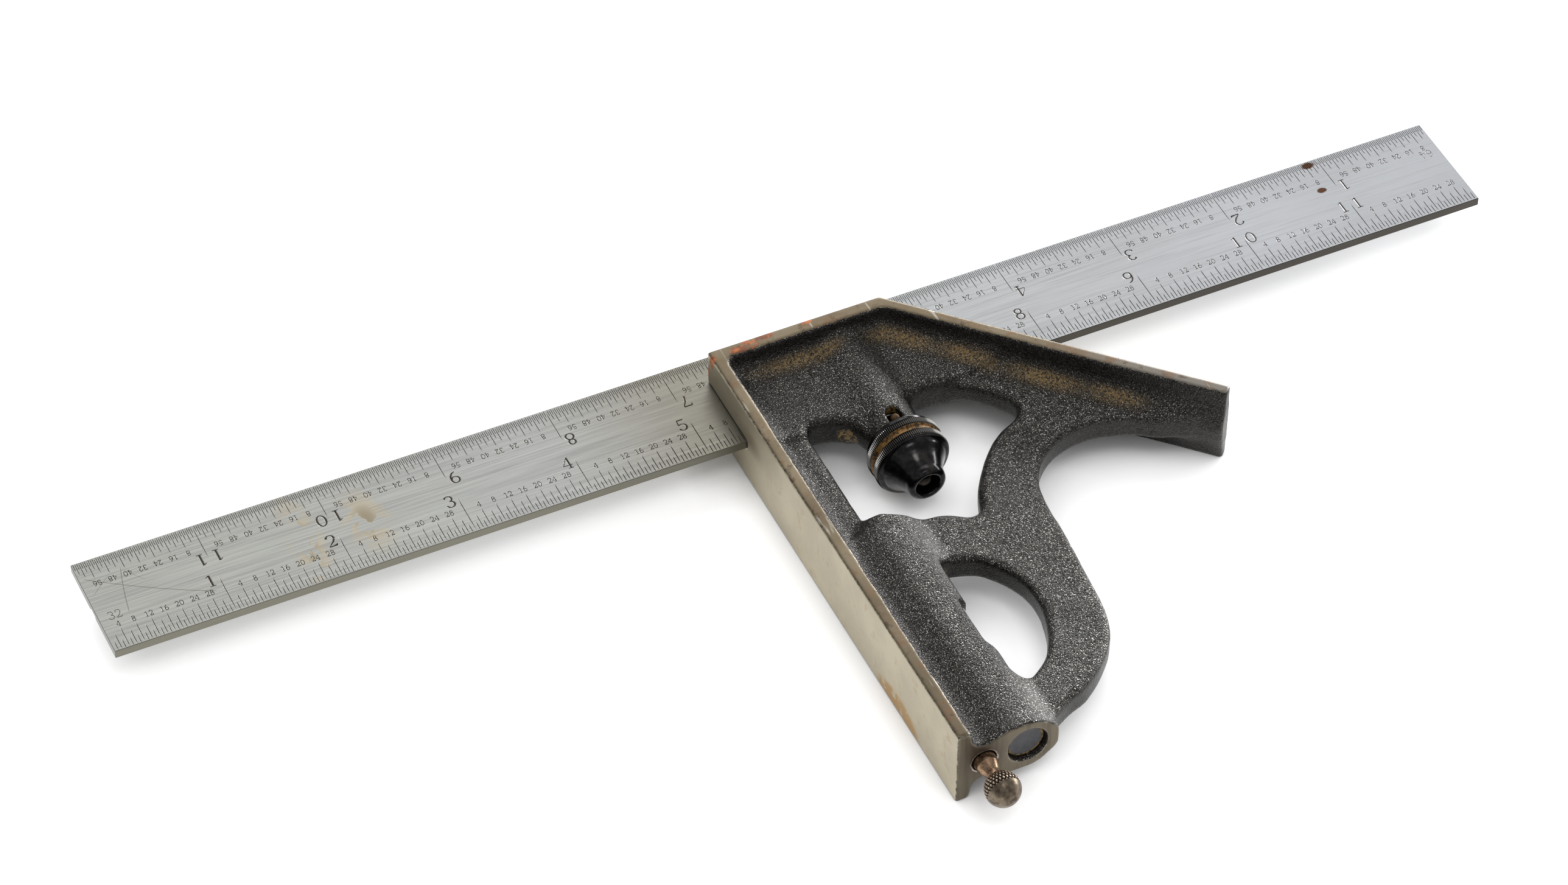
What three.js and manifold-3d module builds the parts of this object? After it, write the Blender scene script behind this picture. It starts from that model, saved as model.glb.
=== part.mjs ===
// Combination square: a cast square-and-mitre head on a sliding steel rule, with a lock bolt,
// a spirit level and a scriber. Millimetres, +Z up, lying on the rims of its head.
import * as THREE from "three";
import { mergeVertices } from "three/addons/utils/BufferGeometryUtils.js";
import Module from "manifold-3d";

const wasm = await Module();
wasm.setup();

// ---- Driving dimensions ----
// The head frame has x from the square (90 degree) face, y from the blade's lower edge, z from mid-thickness.
const BLADE = { length: 304.8, width: 25.2, thickness: 1.98, grooveWidth: 3, grooveDepth: 0.7 };
const FACE_FROM_BLADE_END = 135;
const SLOT_PLAY = 0.08;

const HEAD = {
  thickness: 18.6,
  top: 19,
  topLength: 38.7,
  bottom: -95.4,
  mitreTipX: 91.8,
  rim: 2.8,
  topRim: 3.1,
  mitreRim: 2.6,
  webHalf: 3,
  filletRadius: 3.4,
};
const MITRE_SUM = HEAD.topLength + HEAD.top;

// A thicker pad of the web carries the rule's slot. Its lower edge rises gently to the right.
const PAD = { half: 4, edgeX: 30, edgeY: -5.9, slope: 0.125, mitreX: 58.5 };

// The lock bolt slides in a boss of the head, and the knurled nut on its thread draws it down.
const LOCK = { x: 28.3, boreRadius: 3.7, boreTop: 14.8, step: -8, holeRadius: 2.75 };
const BOSS = { radius: 6, end: -11.8, taperStart: 9, tipRadius: 4.6, tip: 15 };
const KEYWAY = { width: 3, top: -9 };
const BOLT = { shank: 2.45, tip: -24.6, tipRadius: 1.3, tipTaper: 1.1, collar: 3.4, top: -1.3, collarDepth: 1.3 };
const TONGUE = { halfWidth: 2.6, thickness: 1.3, top: 13.4 };
const LUG = { bottom: 11.4, top: 13, height: 0.7 };
const GUIDE_PIN = { radius: 0.98, holeRadius: 1.05, y: -10.1, foot: -0.5, holeFoot: -0.8, shoulder: 4.9 };
const NUT = { back: -12.1, end: -25.7, bore: 2.65, knurl: 8.2, groove: 7.45, collar: 7.6, nose: 4.2 };
const SPRING = { radius: 3.08, wire: 0.33, turns: 4, bottom: -7.5, top: -3 };

const LEVEL = { x: 15.3, bossRadius: 6.3, bossTop: -33, boreRadius: 4.15, centreY: -66.8 };
const VIAL = { length: 36, outer: 3.65, inner: 2.9, seatLength: 3.2 };
const END_DISC = { recess: 1.3, thickness: 3 };
const APERTURE = { faceX: 17.3, farX: 20, length: 12.4 };
const BUBBLE = { halfLength: 4.4, halfWidth: 1.9, centreZ: 1.45, halfHeight: 1.1 };

const SCRIBER = { x: 5.95, stem: 2.2, ball: 3.65, ballY: -7.75, neckAngle: 0.42, bore: 1.4 };
const BUSH = { radius: 2.75, bore: 1.15, start: 1.3, end: 24, splitStart: 9, splitWidth: 0.6 };
const STAKED_LIP = { radius: 2.5, depth: 1 };
const NEEDLE = { radius: 0.95, tang: 0.75, tangEnd: -5.7, shoulder: 1.2, taper: 9, reach: 54 };
const SCRIBER_BAR = { right: 12, half: 4.6, top: -33 };

const GAP = 0.3;
const PRESS_GAP = 0.1;
const OBJECT_BOTTOM = HEAD.bottom + SCRIBER.ballY - SCRIBER.ball;
const EDGE_Y = -(BLADE.width + OBJECT_BOTTOM) / 2;
const FACE_X = FACE_FROM_BLADE_END - BLADE.length / 2;

// ---- Materials ----
function material(color, roughness, metalness) {
  return new THREE.MeshStandardMaterial({ color, roughness, metalness });
}
const castIron = material(0x3a3936, 0.6, 0.5);
const ruleSteel = material(0xb9bbbd, 0.35, 1);
const blackSteel = material(0x17181a, 0.25, 0.9);
const toolSteel = material(0x6f6a62, 0.4, 1);
const springSteel = material(0x8a8c8f, 0.35, 1);
const brass = material(0xa9854a, 0.4, 1);
const plaster = material(0xd9d2bf, 0.9, 0);
const glass = material(0xdfeae6, 0.05, 0);
const spirit = material(0xc9d86a, 0.05, 0);
const discGrey = material(0x5b5f68, 0.4, 0);

// ---- Solids ----
function solidOf(geometry) {
  const bare = geometry.clone();
  bare.deleteAttribute("normal");
  bare.deleteAttribute("uv");
  const merged = mergeVertices(bare, 1e-4);
  return new wasm.Manifold(
    new wasm.Mesh({
      numProp: 3,
      vertProperties: new Float32Array(merged.attributes.position.array),
      triVerts: new Uint32Array(merged.index.array),
    }),
  );
}

function meshOf(name, solid, look) {
  const made = solid.getMesh();
  const geometry = new THREE.BufferGeometry();
  geometry.setAttribute("position", new THREE.BufferAttribute(made.vertProperties, 3));
  geometry.setIndex(new THREE.BufferAttribute(made.triVerts, 1));
  geometry.computeVertexNormals();
  const mesh = new THREE.Mesh(geometry, look);
  mesh.name = name;
  return mesh;
}

function block(x0, x1, y0, y1, z0, z1) {
  const geometry = new THREE.BoxGeometry(x1 - x0, y1 - y0, z1 - z0);
  geometry.translate((x0 + x1) / 2, (y0 + y1) / 2, (z0 + z1) / 2);
  return solidOf(geometry);
}

// A round bar along Y.
function rod(radius, y0, y1, x = 0, z = 0, sides = 36) {
  const geometry = new THREE.CylinderGeometry(radius, radius, y1 - y0, sides);
  geometry.translate(x, (y0 + y1) / 2, z);
  return solidOf(geometry);
}

// A round bar along Z.
function standingRod(radius, z0, z1, y) {
  const geometry = new THREE.CylinderGeometry(radius, radius, z1 - z0, 20);
  geometry.rotateX(Math.PI / 2);
  geometry.translate(0, y, (z0 + z1) / 2);
  return solidOf(geometry);
}

// A turned piece about Y, from [radius, y] pairs that run from the low end to the high end.
function turned(profile, x = 0, sides = 48) {
  const points = profile.map(([radius, y]) => new THREE.Vector2(radius, y));
  const geometry = new THREE.LatheGeometry(points, sides);
  geometry.translate(x, 0, 0);
  return solidOf(geometry);
}

function slab(shape, z0, z1, curveSegments = 12) {
  const geometry = new THREE.ExtrudeGeometry(shape, { depth: z1 - z0, bevelEnabled: false, curveSegments });
  geometry.translate(0, 0, z0);
  return solidOf(geometry);
}

// ---- Head outlines ----
function planPoint([x, y]) {
  return new THREE.Vector2(x, y);
}

// The plan of the casting: square face, top edge, mitre face, then the hollow sweep back to the level boss.
function headPlan() {
  const { top, topLength, bottom, mitreTipX, mitreRim } = HEAD;
  const tipY = MITRE_SUM - mitreTipX;
  const tipInset = mitreRim * Math.SQRT1_2;
  const plan = new THREE.Shape();
  plan.moveTo(0, bottom);
  plan.lineTo(LEVEL.x + LEVEL.bossRadius, bottom);
  plan.splineThru(
    [
      [22.2, -93.2],
      [26.5, -90.5],
      [31.5, -88.4],
      [37.2, -84.1],
      [41.7, -78.4],
      [44, -71.3],
      [44.9, -63.4],
      [45.6, -56],
      [46.2, -48.5],
      [46.6, -41.5],
      [48.2, -35],
      [52.5, -29.6],
      [58.5, -26.8],
      [65, -26.1],
      [72, -28],
      [78, -31.4],
      [83, -32.6],
      [86, -32.3],
    ].map(planPoint),
  );
  plan.lineTo(mitreTipX - tipInset, tipY - tipInset);
  plan.lineTo(mitreTipX, tipY);
  plan.lineTo(topLength, top);
  plan.lineTo(0, top);
  plan.closePath();
  return plan;
}

// The window that the lock nut works in.
function nutWindow() {
  const plan = new THREE.Shape();
  plan.moveTo(11.3, -5.8);
  plan.lineTo(11.3, -30);
  plan.quadraticCurveTo(11.3, -32.2, 13.4, -32.7);
  plan.splineThru(
    [
      [17, -34.2],
      [22, -35],
      [27, -36],
      [30.5, -38],
    ].map(planPoint),
  );
  plan.quadraticCurveTo(33, -39, 34, -36.8);
  plan.splineThru(
    [
      [36.4, -31.4],
      [40.4, -25.9],
      [45.4, -20.9],
      [51, -18],
    ].map(planPoint),
  );
  plan.quadraticCurveTo(54.5, -15.5, 52.4, -12.2);
  plan.splineThru(
    [
      [47.2, -6.4],
      [41.8, -3.6],
    ].map(planPoint),
  );
  plan.lineTo(LOCK.x, -3.6);
  plan.lineTo(LOCK.x - 6, -9);
  plan.quadraticCurveTo(LOCK.x - 9, -3.6, 13.5, -3.6);
  plan.quadraticCurveTo(11.3, -3.6, 11.3, -5.8);
  return plan;
}

// The D-shaped window that the level is read through.
function levelWindow() {
  const plan = new THREE.Shape();
  plan.moveTo(19.3, -50);
  plan.lineTo(19.3, -79.8);
  plan.quadraticCurveTo(20.2, -82, 23, -81.8);
  plan.splineThru(
    [
      [27.7, -78.2],
      [31.2, -72],
      [32.9, -64.6],
      [32, -57.4],
      [27.6, -50.6],
      [22, -48.2],
    ].map(planPoint),
  );
  plan.quadraticCurveTo(19.3, -48, 19.3, -50);
  return plan;
}

// One face's recess, which leaves the rims standing and rounds into the web.
function rimRecess() {
  const { top, rim, topRim, mitreRim, filletRadius, webHalf, thickness } = HEAD;
  const inset = filletRadius;
  const left = rim + inset;
  const upper = top - topRim - inset;
  const mitre = MITRE_SUM - (mitreRim + inset) * Math.SQRT2;
  const far = 150;
  const plan = new THREE.Shape();
  plan.moveTo(left, -far);
  plan.lineTo(mitre + far, -far);
  plan.lineTo(mitre - upper, upper);
  plan.lineTo(left, upper);
  plan.closePath();
  const depth = thickness;
  const geometry = new THREE.ExtrudeGeometry(plan, {
    depth,
    bevelThickness: filletRadius,
    bevelSize: filletRadius,
    bevelSegments: 4,
  });
  geometry.translate(0, 0, webHalf + filletRadius);
  return solidOf(geometry);
}

// The pad round the rule's slot, which runs on inside the rims.
function slotPad() {
  const left = HEAD.rim - 1;
  const upper = HEAD.top - 1;
  const mitreY = PAD.edgeY + PAD.slope * (PAD.mitreX - PAD.edgeX);
  const plan = new THREE.Shape();
  plan.moveTo(left, PAD.edgeY);
  plan.lineTo(PAD.edgeX, PAD.edgeY);
  plan.lineTo(PAD.mitreX, mitreY);
  plan.lineTo(PAD.mitreX + mitreY - upper, upper);
  plan.lineTo(left, upper);
  plan.closePath();
  return slab(plan, -PAD.half, PAD.half);
}

// ---- Sub-parts ----
function squareHead() {
  const half = HEAD.thickness / 2;
  const recess = rimRecess();
  let head = slab(headPlan(), -half, half, 6);
  head = head.subtract(recess).subtract(recess.mirror([0, 0, 1])).add(slotPad());

  const { right, half: barHalf, top: barTop } = SCRIBER_BAR;
  head = head.add(block(HEAD.rim - 1, right, HEAD.bottom, barTop, -barHalf, barHalf));
  head = head.add(rod(LEVEL.bossRadius, HEAD.bottom, LEVEL.bossTop, LEVEL.x));
  head = head.subtract(slab(nutWindow(), -half, half, 4));
  head = head.subtract(slab(levelWindow(), -half, half, 4));
  const boss = [
    [0, BOSS.end],
    [BOSS.radius, BOSS.end],
    [BOSS.radius, BOSS.taperStart],
    [BOSS.tipRadius, BOSS.tip],
    [0, BOSS.tip],
  ];
  head = head.add(turned(boss, LOCK.x, 36));

  const slotHalf = BLADE.thickness / 2 + SLOT_PLAY;
  head = head.subtract(block(-1, HEAD.mitreTipX, -SLOT_PLAY, HEAD.top + 1, -slotHalf, slotHalf));
  head = head.subtract(rod(LOCK.boreRadius, LOCK.step, LOCK.boreTop, LOCK.x));
  head = head.subtract(rod(LOCK.holeRadius, BOSS.end - 1, LOCK.step + 1, LOCK.x));
  const keywayHalf = KEYWAY.width / 2;
  const keyway = block(LOCK.x - keywayHalf, LOCK.x + keywayHalf, BOSS.end - 1, KEYWAY.top, 0, half);
  const keywayEnd = new THREE.CylinderGeometry(keywayHalf, keywayHalf, half, 24);
  keywayEnd.rotateX(Math.PI / 2);
  keywayEnd.translate(LOCK.x, KEYWAY.top, half / 2);
  head = head.subtract(keyway).subtract(solidOf(keywayEnd));

  const vialInnerEnd = LEVEL.centreY + VIAL.length / 2 + VIAL.seatLength + 1;
  head = head.subtract(rod(LEVEL.boreRadius, HEAD.bottom - 1, vialInnerEnd, LEVEL.x));
  const apertureHalf = APERTURE.length / 2;
  head = head.subtract(
    block(
      APERTURE.faceX,
      APERTURE.farX,
      LEVEL.centreY - apertureHalf,
      LEVEL.centreY + apertureHalf,
      -half,
      half,
    ),
  );

  const lipTop = HEAD.bottom + STAKED_LIP.depth;
  const bushTop = HEAD.bottom + BUSH.end + 1;
  const needleTop = HEAD.bottom + NEEDLE.reach + 2;
  head = head.subtract(rod(STAKED_LIP.radius, HEAD.bottom - 1, lipTop + 1, SCRIBER.x));
  head = head.subtract(rod(BUSH.radius + PRESS_GAP, lipTop, bushTop, SCRIBER.x));
  head = head.subtract(rod(SCRIBER.bore, bushTop - 1, needleTop, SCRIBER.x, 0, 16));
  return meshOf("square_head", head, castIron);
}

function blade() {
  const { length, width, thickness, grooveWidth, grooveDepth } = BLADE;
  const left = -FACE_FROM_BLADE_END;
  const right = left + length;
  const low = -thickness / 2;
  const grooveY = (width - grooveWidth) / 2;
  const rule = block(left, right, 0, width, low, thickness / 2);
  const groove = block(left - 1, right + 1, grooveY, grooveY + grooveWidth, low - 1, low + grooveDepth);
  return meshOf("blade", rule.subtract(groove), ruleSteel);
}

function lockBolt() {
  const collarBottom = BOLT.top - BOLT.collarDepth;
  let bolt = turned([
    [0, BOLT.tip],
    [BOLT.tipRadius, BOLT.tip],
    [BOLT.shank, BOLT.tip + BOLT.tipTaper],
    [BOLT.shank, collarBottom],
    [BOLT.collar, collarBottom],
    [BOLT.collar, BOLT.top],
    [0, BOLT.top],
  ]);
  const { halfWidth, thickness, top } = TONGUE;
  const tongueHigh = -BLADE.thickness / 2 - GAP;
  const lugFoot = tongueHigh - thickness / 2;
  const tongue = block(-halfWidth, halfWidth, collarBottom + 1, top, tongueHigh - thickness, tongueHigh);
  const lug = block(-halfWidth, halfWidth, LUG.bottom, LUG.top, lugFoot, tongueHigh + LUG.height);
  bolt = bolt.add(tongue).add(lug);
  const pinHole = standingRod(GUIDE_PIN.holeRadius, GUIDE_PIN.holeFoot, BOLT.collar * 2, GUIDE_PIN.y);
  return meshOf("lock_bolt", bolt.subtract(pinHole), toolSteel);
}

function guidePin() {
  const { radius, y, foot, shoulder } = GUIDE_PIN;
  const dome = new THREE.SphereGeometry(radius, 20, 8);
  dome.translate(0, y, shoulder);
  const pin = standingRod(radius, foot, shoulder, y).add(solidOf(dome));
  return meshOf("bolt_guide_pin", pin, toolSteel);
}

// A bell-shaped nut with two knurled bands. The heights are measured from the small end.
function lockNut() {
  const { back, end, bore, knurl, groove, collar, nose } = NUT;
  const bell = [
    [nose - 0.7, 0],
    [nose, 0.6],
    [nose + 0.1, 2],
    [nose + 0.6, 3.1],
    [nose + 1.3, 4.4],
    [nose + 2.4, 5.8],
    [nose + 2.8, 6.6],
  ];
  const bands = [
    [knurl - 0.4, 6.9],
    [knurl, 7.3],
    [knurl, 8.5],
    [groove, 9],
    [groove, 10],
    [knurl, 10.4],
    [knurl, 11.8],
    [collar, 12.2],
  ];
  const outside = [...bell, ...bands].map(([radius, height]) => [radius, end + height]);
  const nut = turned([[bore, end], ...outside, [collar, back], [bore, back], [bore, end]]);
  return meshOf("lock_nut", nut, blackSteel);
}

class Helix extends THREE.Curve {
  constructor(radius, turns, bottom, top) {
    super();
    Object.assign(this, { radius, turns, bottom, top });
  }

  getPoint(t, target = new THREE.Vector3()) {
    const angle = t * this.turns * 2 * Math.PI;
    const y = this.bottom + t * (this.top - this.bottom);
    return target.set(this.radius * Math.cos(angle), y, this.radius * Math.sin(angle));
  }
}

function lockSpring() {
  const section = new THREE.Shape();
  section.absarc(0, 0, SPRING.wire, 0, 2 * Math.PI);
  const geometry = new THREE.ExtrudeGeometry(section, {
    curveSegments: 3,
    steps: SPRING.turns * 16,
    extrudePath: new Helix(SPRING.radius, SPRING.turns, SPRING.bottom, SPRING.top),
  });
  return meshOf("lock_spring", solidOf(geometry), springSteel);
}

function vialParts() {
  const half = VIAL.length / 2;
  const tube = rod(VIAL.outer, -half, half).subtract(rod(VIAL.inner, -half - 1, half + 1));
  const bubbleSolid = ellipsoid(BUBBLE.halfWidth, BUBBLE.halfLength, BUBBLE.halfHeight, BUBBLE.centreZ);
  const liquidRadius = VIAL.inner - GAP;
  const liquidHalf = half - 1;
  const open = block(-1, 1, -BUBBLE.halfLength / 2, BUBBLE.halfLength / 2, BUBBLE.centreZ, VIAL.inner);
  const hollow = ellipsoid(
    BUBBLE.halfWidth + GAP,
    BUBBLE.halfLength + GAP,
    BUBBLE.halfHeight + GAP,
    BUBBLE.centreZ,
  );
  const liquid = rod(liquidRadius, -liquidHalf, liquidHalf).subtract(hollow).subtract(open);
  const plugRadius = LEVEL.boreRadius - PRESS_GAP;
  const seatOuter = rod(plugRadius, -half - VIAL.seatLength, -half - GAP);
  const seatInner = rod(plugRadius, half + GAP, half + VIAL.seatLength);
  const discEnd = HEAD.bottom - LEVEL.centreY + END_DISC.recess;
  const disc = rod(plugRadius, discEnd, discEnd + END_DISC.thickness);
  return [
    meshOf("vial_glass", tube, glass),
    meshOf("vial_spirit", liquid, spirit),
    meshOf("vial_bubble", bubbleSolid, glass),
    meshOf("vial_seat_outer", seatOuter, plaster),
    meshOf("vial_seat_inner", seatInner, plaster),
    meshOf("vial_end_disc", disc, discGrey),
  ];
}

function ellipsoid(halfX, halfY, halfZ, centreZ) {
  const geometry = new THREE.SphereGeometry(1, 24, 16);
  geometry.scale(halfX, halfY, halfZ);
  geometry.translate(0, 0, centreZ);
  return solidOf(geometry);
}

// The scriber's own frame has its origin on the head's end face, on the scriber's axis.
function scriberBushing() {
  const { radius, bore, start, end, splitStart, splitWidth } = BUSH;
  const bush = rod(radius, start, end, 0, 0, 28).subtract(rod(bore, start - 1, end + 1, 0, 0, 20));
  const split = block(-splitWidth / 2, splitWidth / 2, splitStart, end + 1, -radius - 1, radius + 1);
  return meshOf("scriber_bushing", bush.subtract(split), brass);
}

function scriberKnob() {
  const { stem, ball, ballY, neckAngle } = SCRIBER;
  const profile = [[0, ballY - ball]];
  const steps = 12;
  for (let i = 1; i <= steps; i += 1) {
    const angle = Math.PI - (i / steps) * (Math.PI - neckAngle);
    profile.push([ball * Math.sin(angle), ballY + ball * Math.cos(angle)]);
  }
  const neck = stem - 0.7;
  const stemEnd = 1;
  profile.push([neck, -4.1], [neck + 0.1, -3.3], [stem - 0.25, -2.3], [stem, -1.3]);
  profile.push([stem, stemEnd], [0, stemEnd]);
  const socket = rod(NEEDLE.tang + PRESS_GAP, NEEDLE.tangEnd - GAP, stemEnd + 1, 0, 0, 16);
  return meshOf("scriber_knob", turned(profile, 0, 32).subtract(socket), toolSteel);
}

function scriberNeedle() {
  const { radius, tang, tangEnd, shoulder, taper, reach } = NEEDLE;
  const profile = [
    [0, tangEnd],
    [tang, tangEnd],
    [tang, shoulder - PRESS_GAP],
    [radius, shoulder],
    [radius, reach - taper],
    [0, reach],
  ];
  return meshOf("scriber_needle", turned(profile, 0, 16), springSteel);
}

// ---- Assembly ----
const lock = new THREE.Group();
lock.position.x = LOCK.x;
lock.add(lockBolt(), guidePin(), lockNut(), lockSpring());

const level = new THREE.Group();
level.position.set(LEVEL.x, LEVEL.centreY, 0);
level.add(...vialParts());

const scriber = new THREE.Group();
scriber.position.set(SCRIBER.x, HEAD.bottom, 0);
scriber.add(scriberBushing(), scriberKnob(), scriberNeedle());

const combinationSquare = new THREE.Group();
combinationSquare.position.set(FACE_X, EDGE_Y, HEAD.thickness / 2);
combinationSquare.add(squareHead(), blade(), lock, level, scriber);

export default combinationSquare;
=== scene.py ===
"""Combination square: the visual model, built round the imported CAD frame.

Lengths are in millimetres in the head's own frame (x from the square face, y from the rule's
lower edge, z from mid-thickness) until add_mesh puts them in the row frame, in metres.
"""

import math

import bmesh
import bpy
import numpy as np
import openvdb
from mathutils import Matrix, Vector
from mathutils.geometry import delaunay_2d_cdt


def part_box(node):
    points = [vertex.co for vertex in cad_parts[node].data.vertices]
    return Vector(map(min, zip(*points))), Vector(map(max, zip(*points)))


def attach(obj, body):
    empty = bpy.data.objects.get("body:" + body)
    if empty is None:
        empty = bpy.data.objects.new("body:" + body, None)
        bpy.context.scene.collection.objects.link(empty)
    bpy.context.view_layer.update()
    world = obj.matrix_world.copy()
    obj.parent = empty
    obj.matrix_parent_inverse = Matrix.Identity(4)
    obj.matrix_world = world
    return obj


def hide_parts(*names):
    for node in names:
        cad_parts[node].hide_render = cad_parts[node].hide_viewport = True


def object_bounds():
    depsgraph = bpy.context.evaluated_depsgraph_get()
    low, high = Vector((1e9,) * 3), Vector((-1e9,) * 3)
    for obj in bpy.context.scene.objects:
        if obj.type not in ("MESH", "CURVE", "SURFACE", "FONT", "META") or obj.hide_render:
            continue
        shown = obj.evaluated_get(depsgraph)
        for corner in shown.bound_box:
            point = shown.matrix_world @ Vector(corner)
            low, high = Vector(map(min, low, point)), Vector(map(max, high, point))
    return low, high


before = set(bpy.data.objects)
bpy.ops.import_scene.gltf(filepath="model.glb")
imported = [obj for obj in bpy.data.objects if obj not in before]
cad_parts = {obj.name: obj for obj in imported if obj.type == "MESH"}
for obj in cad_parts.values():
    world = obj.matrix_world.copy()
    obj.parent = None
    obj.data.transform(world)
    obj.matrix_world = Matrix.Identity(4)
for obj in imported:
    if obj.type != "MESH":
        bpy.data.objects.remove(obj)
CAD_LOW, CAD_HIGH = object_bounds()

MM = 0.001
INCH = 25.4
HEAD_LOW, HEAD_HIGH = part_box("square_head")
BLADE_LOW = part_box("blade")[0]
ORIGIN = np.array([HEAD_LOW.x, BLADE_LOW.y, (HEAD_LOW.z + HEAD_HIGH.z) / 2])

# Head
HALF = 9.3
TOP, BOTTOM, TIP_X, MITRE_SUM = 19.0, -95.4, 91.8, 57.7
RIM, TOP_RIM, MITRE_RIM, DRAFT = 2.8, 3.1, 2.6, 0.22
WEB_HALF, BAR_HALF = 3.0, 4.6
PAD_HALF, PAD_EDGE, PAD_SLOPE, PAD_STEP = 4.0, -6.3, 0.125, 0.9
LOCK_X, LOCK_RADIUS, LOCK_END = 28.3, 6.0, -11.8
LEVEL_X, LEVEL_RADIUS, LEVEL_Y = 15.3, 6.3, -66.8
SCRIBER_X = 5.95
KNURL_LOW, KNURL_HIGH = -8.35, -4.9
LOCK, LEVEL, SCRIBER = (LOCK_X, 0.0), (LEVEL_X, LEVEL_Y), (SCRIBER_X, BOTTOM)
APERTURE_X = 17.3
VOXEL = 0.51

# Rule
BLADE_LEFT, BLADE_LENGTH, BLADE_WIDTH, BLADE_HALF = -135.0, 304.8, 25.2, 0.99


# ---- Meshes ----
def add_mesh(name, points, faces, body, material, replaces=(), smooth=True, sharp=None):
    """A new piece from points in millimetres in the head's frame."""
    mesh = bpy.data.meshes.new(name)
    rows = np.asarray(points, float) * MM + ORIGIN
    mesh.from_pydata(rows.tolist(), [], faces)
    mesh.validate()
    mesh.materials.append(material)
    if smooth:
        mesh.shade_smooth()
        if sharp:
            mesh.set_sharp_from_angle(angle=math.radians(sharp))
    piece = bpy.data.objects.new(name, mesh)
    bpy.context.scene.collection.objects.link(piece)
    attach(piece, body)
    if replaces:
        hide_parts(*replaces)
    return piece


def add_values(piece, name, values):
    """A number at each vertex, for the piece's material to read."""
    layer = piece.data.attributes.new(name, "FLOAT", "POINT")
    layer.data.foreach_set("value", np.asarray(values, np.float32))


def softened(profile, radius, steps=3):
    """The profile with each inner corner turned into a small round."""
    out = [profile[0]]
    for before, here, after in zip(profile, profile[1:], profile[2:]):
        p, a, b = (np.array(q[:2], float) for q in (here, before, after))
        to_a, to_b = a - p, b - p
        la, lb = np.linalg.norm(to_a), np.linalg.norm(to_b)
        cut = min(radius, la * 0.45, lb * 0.45)
        straight = abs(np.dot(to_a / la, to_b / lb) + 1) < 0.02
        if cut < 1e-3 or straight:
            out.append(here)
            continue
        start, end = p + to_a / la * cut, p + to_b / lb * cut
        for i in range(steps + 1):
            t = i / steps
            q = (1 - t) ** 2 * start + 2 * t * (1 - t) * p + t * t * end
            out.append((q[0], q[1], *here[2:]))
    out.append(profile[-1])
    return out


def divided(profile, step):
    """The profile with points no further apart than step."""
    out = [profile[0]]
    for a, b in zip(profile, profile[1:]):
        a, b = np.array(a, float), np.array(b, float)
        n = max(1, math.ceil(np.linalg.norm((b - a)[:2]) / step))
        out += [tuple(a + (b - a) * i / n) for i in range(1, n + 1)]
    return out


def lathe(profile, sides, relief=None):
    """Points and faces of a piece turned about Y.

    The profile's entries are (radius, y, ...), and relief(radius, y, angle, entry) gives the real radius.
    """
    closed = np.allclose(profile[0][:2], profile[-1][:2])
    rings = profile[:-1] if closed else profile
    points, faces, index = [], [], []
    for entry in rings:
        radius, y = entry[:2]
        if radius < 1e-6:
            index.append([len(points)] * sides)
            points.append((0, y, 0))
            continue
        index.append(list(range(len(points), len(points) + sides)))
        for k in range(sides):
            angle = 2 * math.pi * k / sides
            r = relief(radius, y, angle, entry) if relief else radius
            points.append((r * math.cos(angle), y, r * math.sin(angle)))
    pairs = list(zip(index, index[1:] + ([index[0]] if closed else [])))
    for low, high in pairs[: len(index) if closed else len(index) - 1]:
        for k in range(sides):
            n = (k + 1) % sides
            face = [low[k], high[k], high[n], low[n]]
            face = [v for i, v in enumerate(face) if v not in face[:i]]
            if len(face) > 2:
                faces.append(face)
    return points, faces


def add_turned(name, node, body, material, turned, place, sharp=50):
    """A piece from a turned shape's (points, faces), with its axis through place on the head."""
    points = [(x + place[0], y + place[1], z) for x, y, z in turned[0]]
    return add_mesh(name, points, turned[1], body, material, (node,), sharp=sharp)


def triangle_wave(t):
    return abs((t % 1) * 2 - 1)


def joined(*parts):
    points, faces = [], []
    for new_points, new_faces in parts:
        base = len(points)
        points += list(new_points)
        faces += [[base + i for i in face] for face in new_faces]
    return points, faces


def bevelled_box(low, high, radius=0.25):
    shape = bmesh.new()
    bmesh.ops.create_cube(shape, size=1)
    low, high = Vector(low), Vector(high)
    for v in shape.verts:
        v.co = Vector(low[i] + (v.co[i] + 0.5) * (high[i] - low[i]) for i in range(3))
    bmesh.ops.bevel(
        shape, geom=shape.edges[:], offset=radius, segments=2, profile=0.5, affect="EDGES"
    )
    shape.verts.index_update()
    made = [tuple(v.co) for v in shape.verts], [[v.index for v in f.verts] for f in shape.faces]
    shape.free()
    return made


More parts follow.
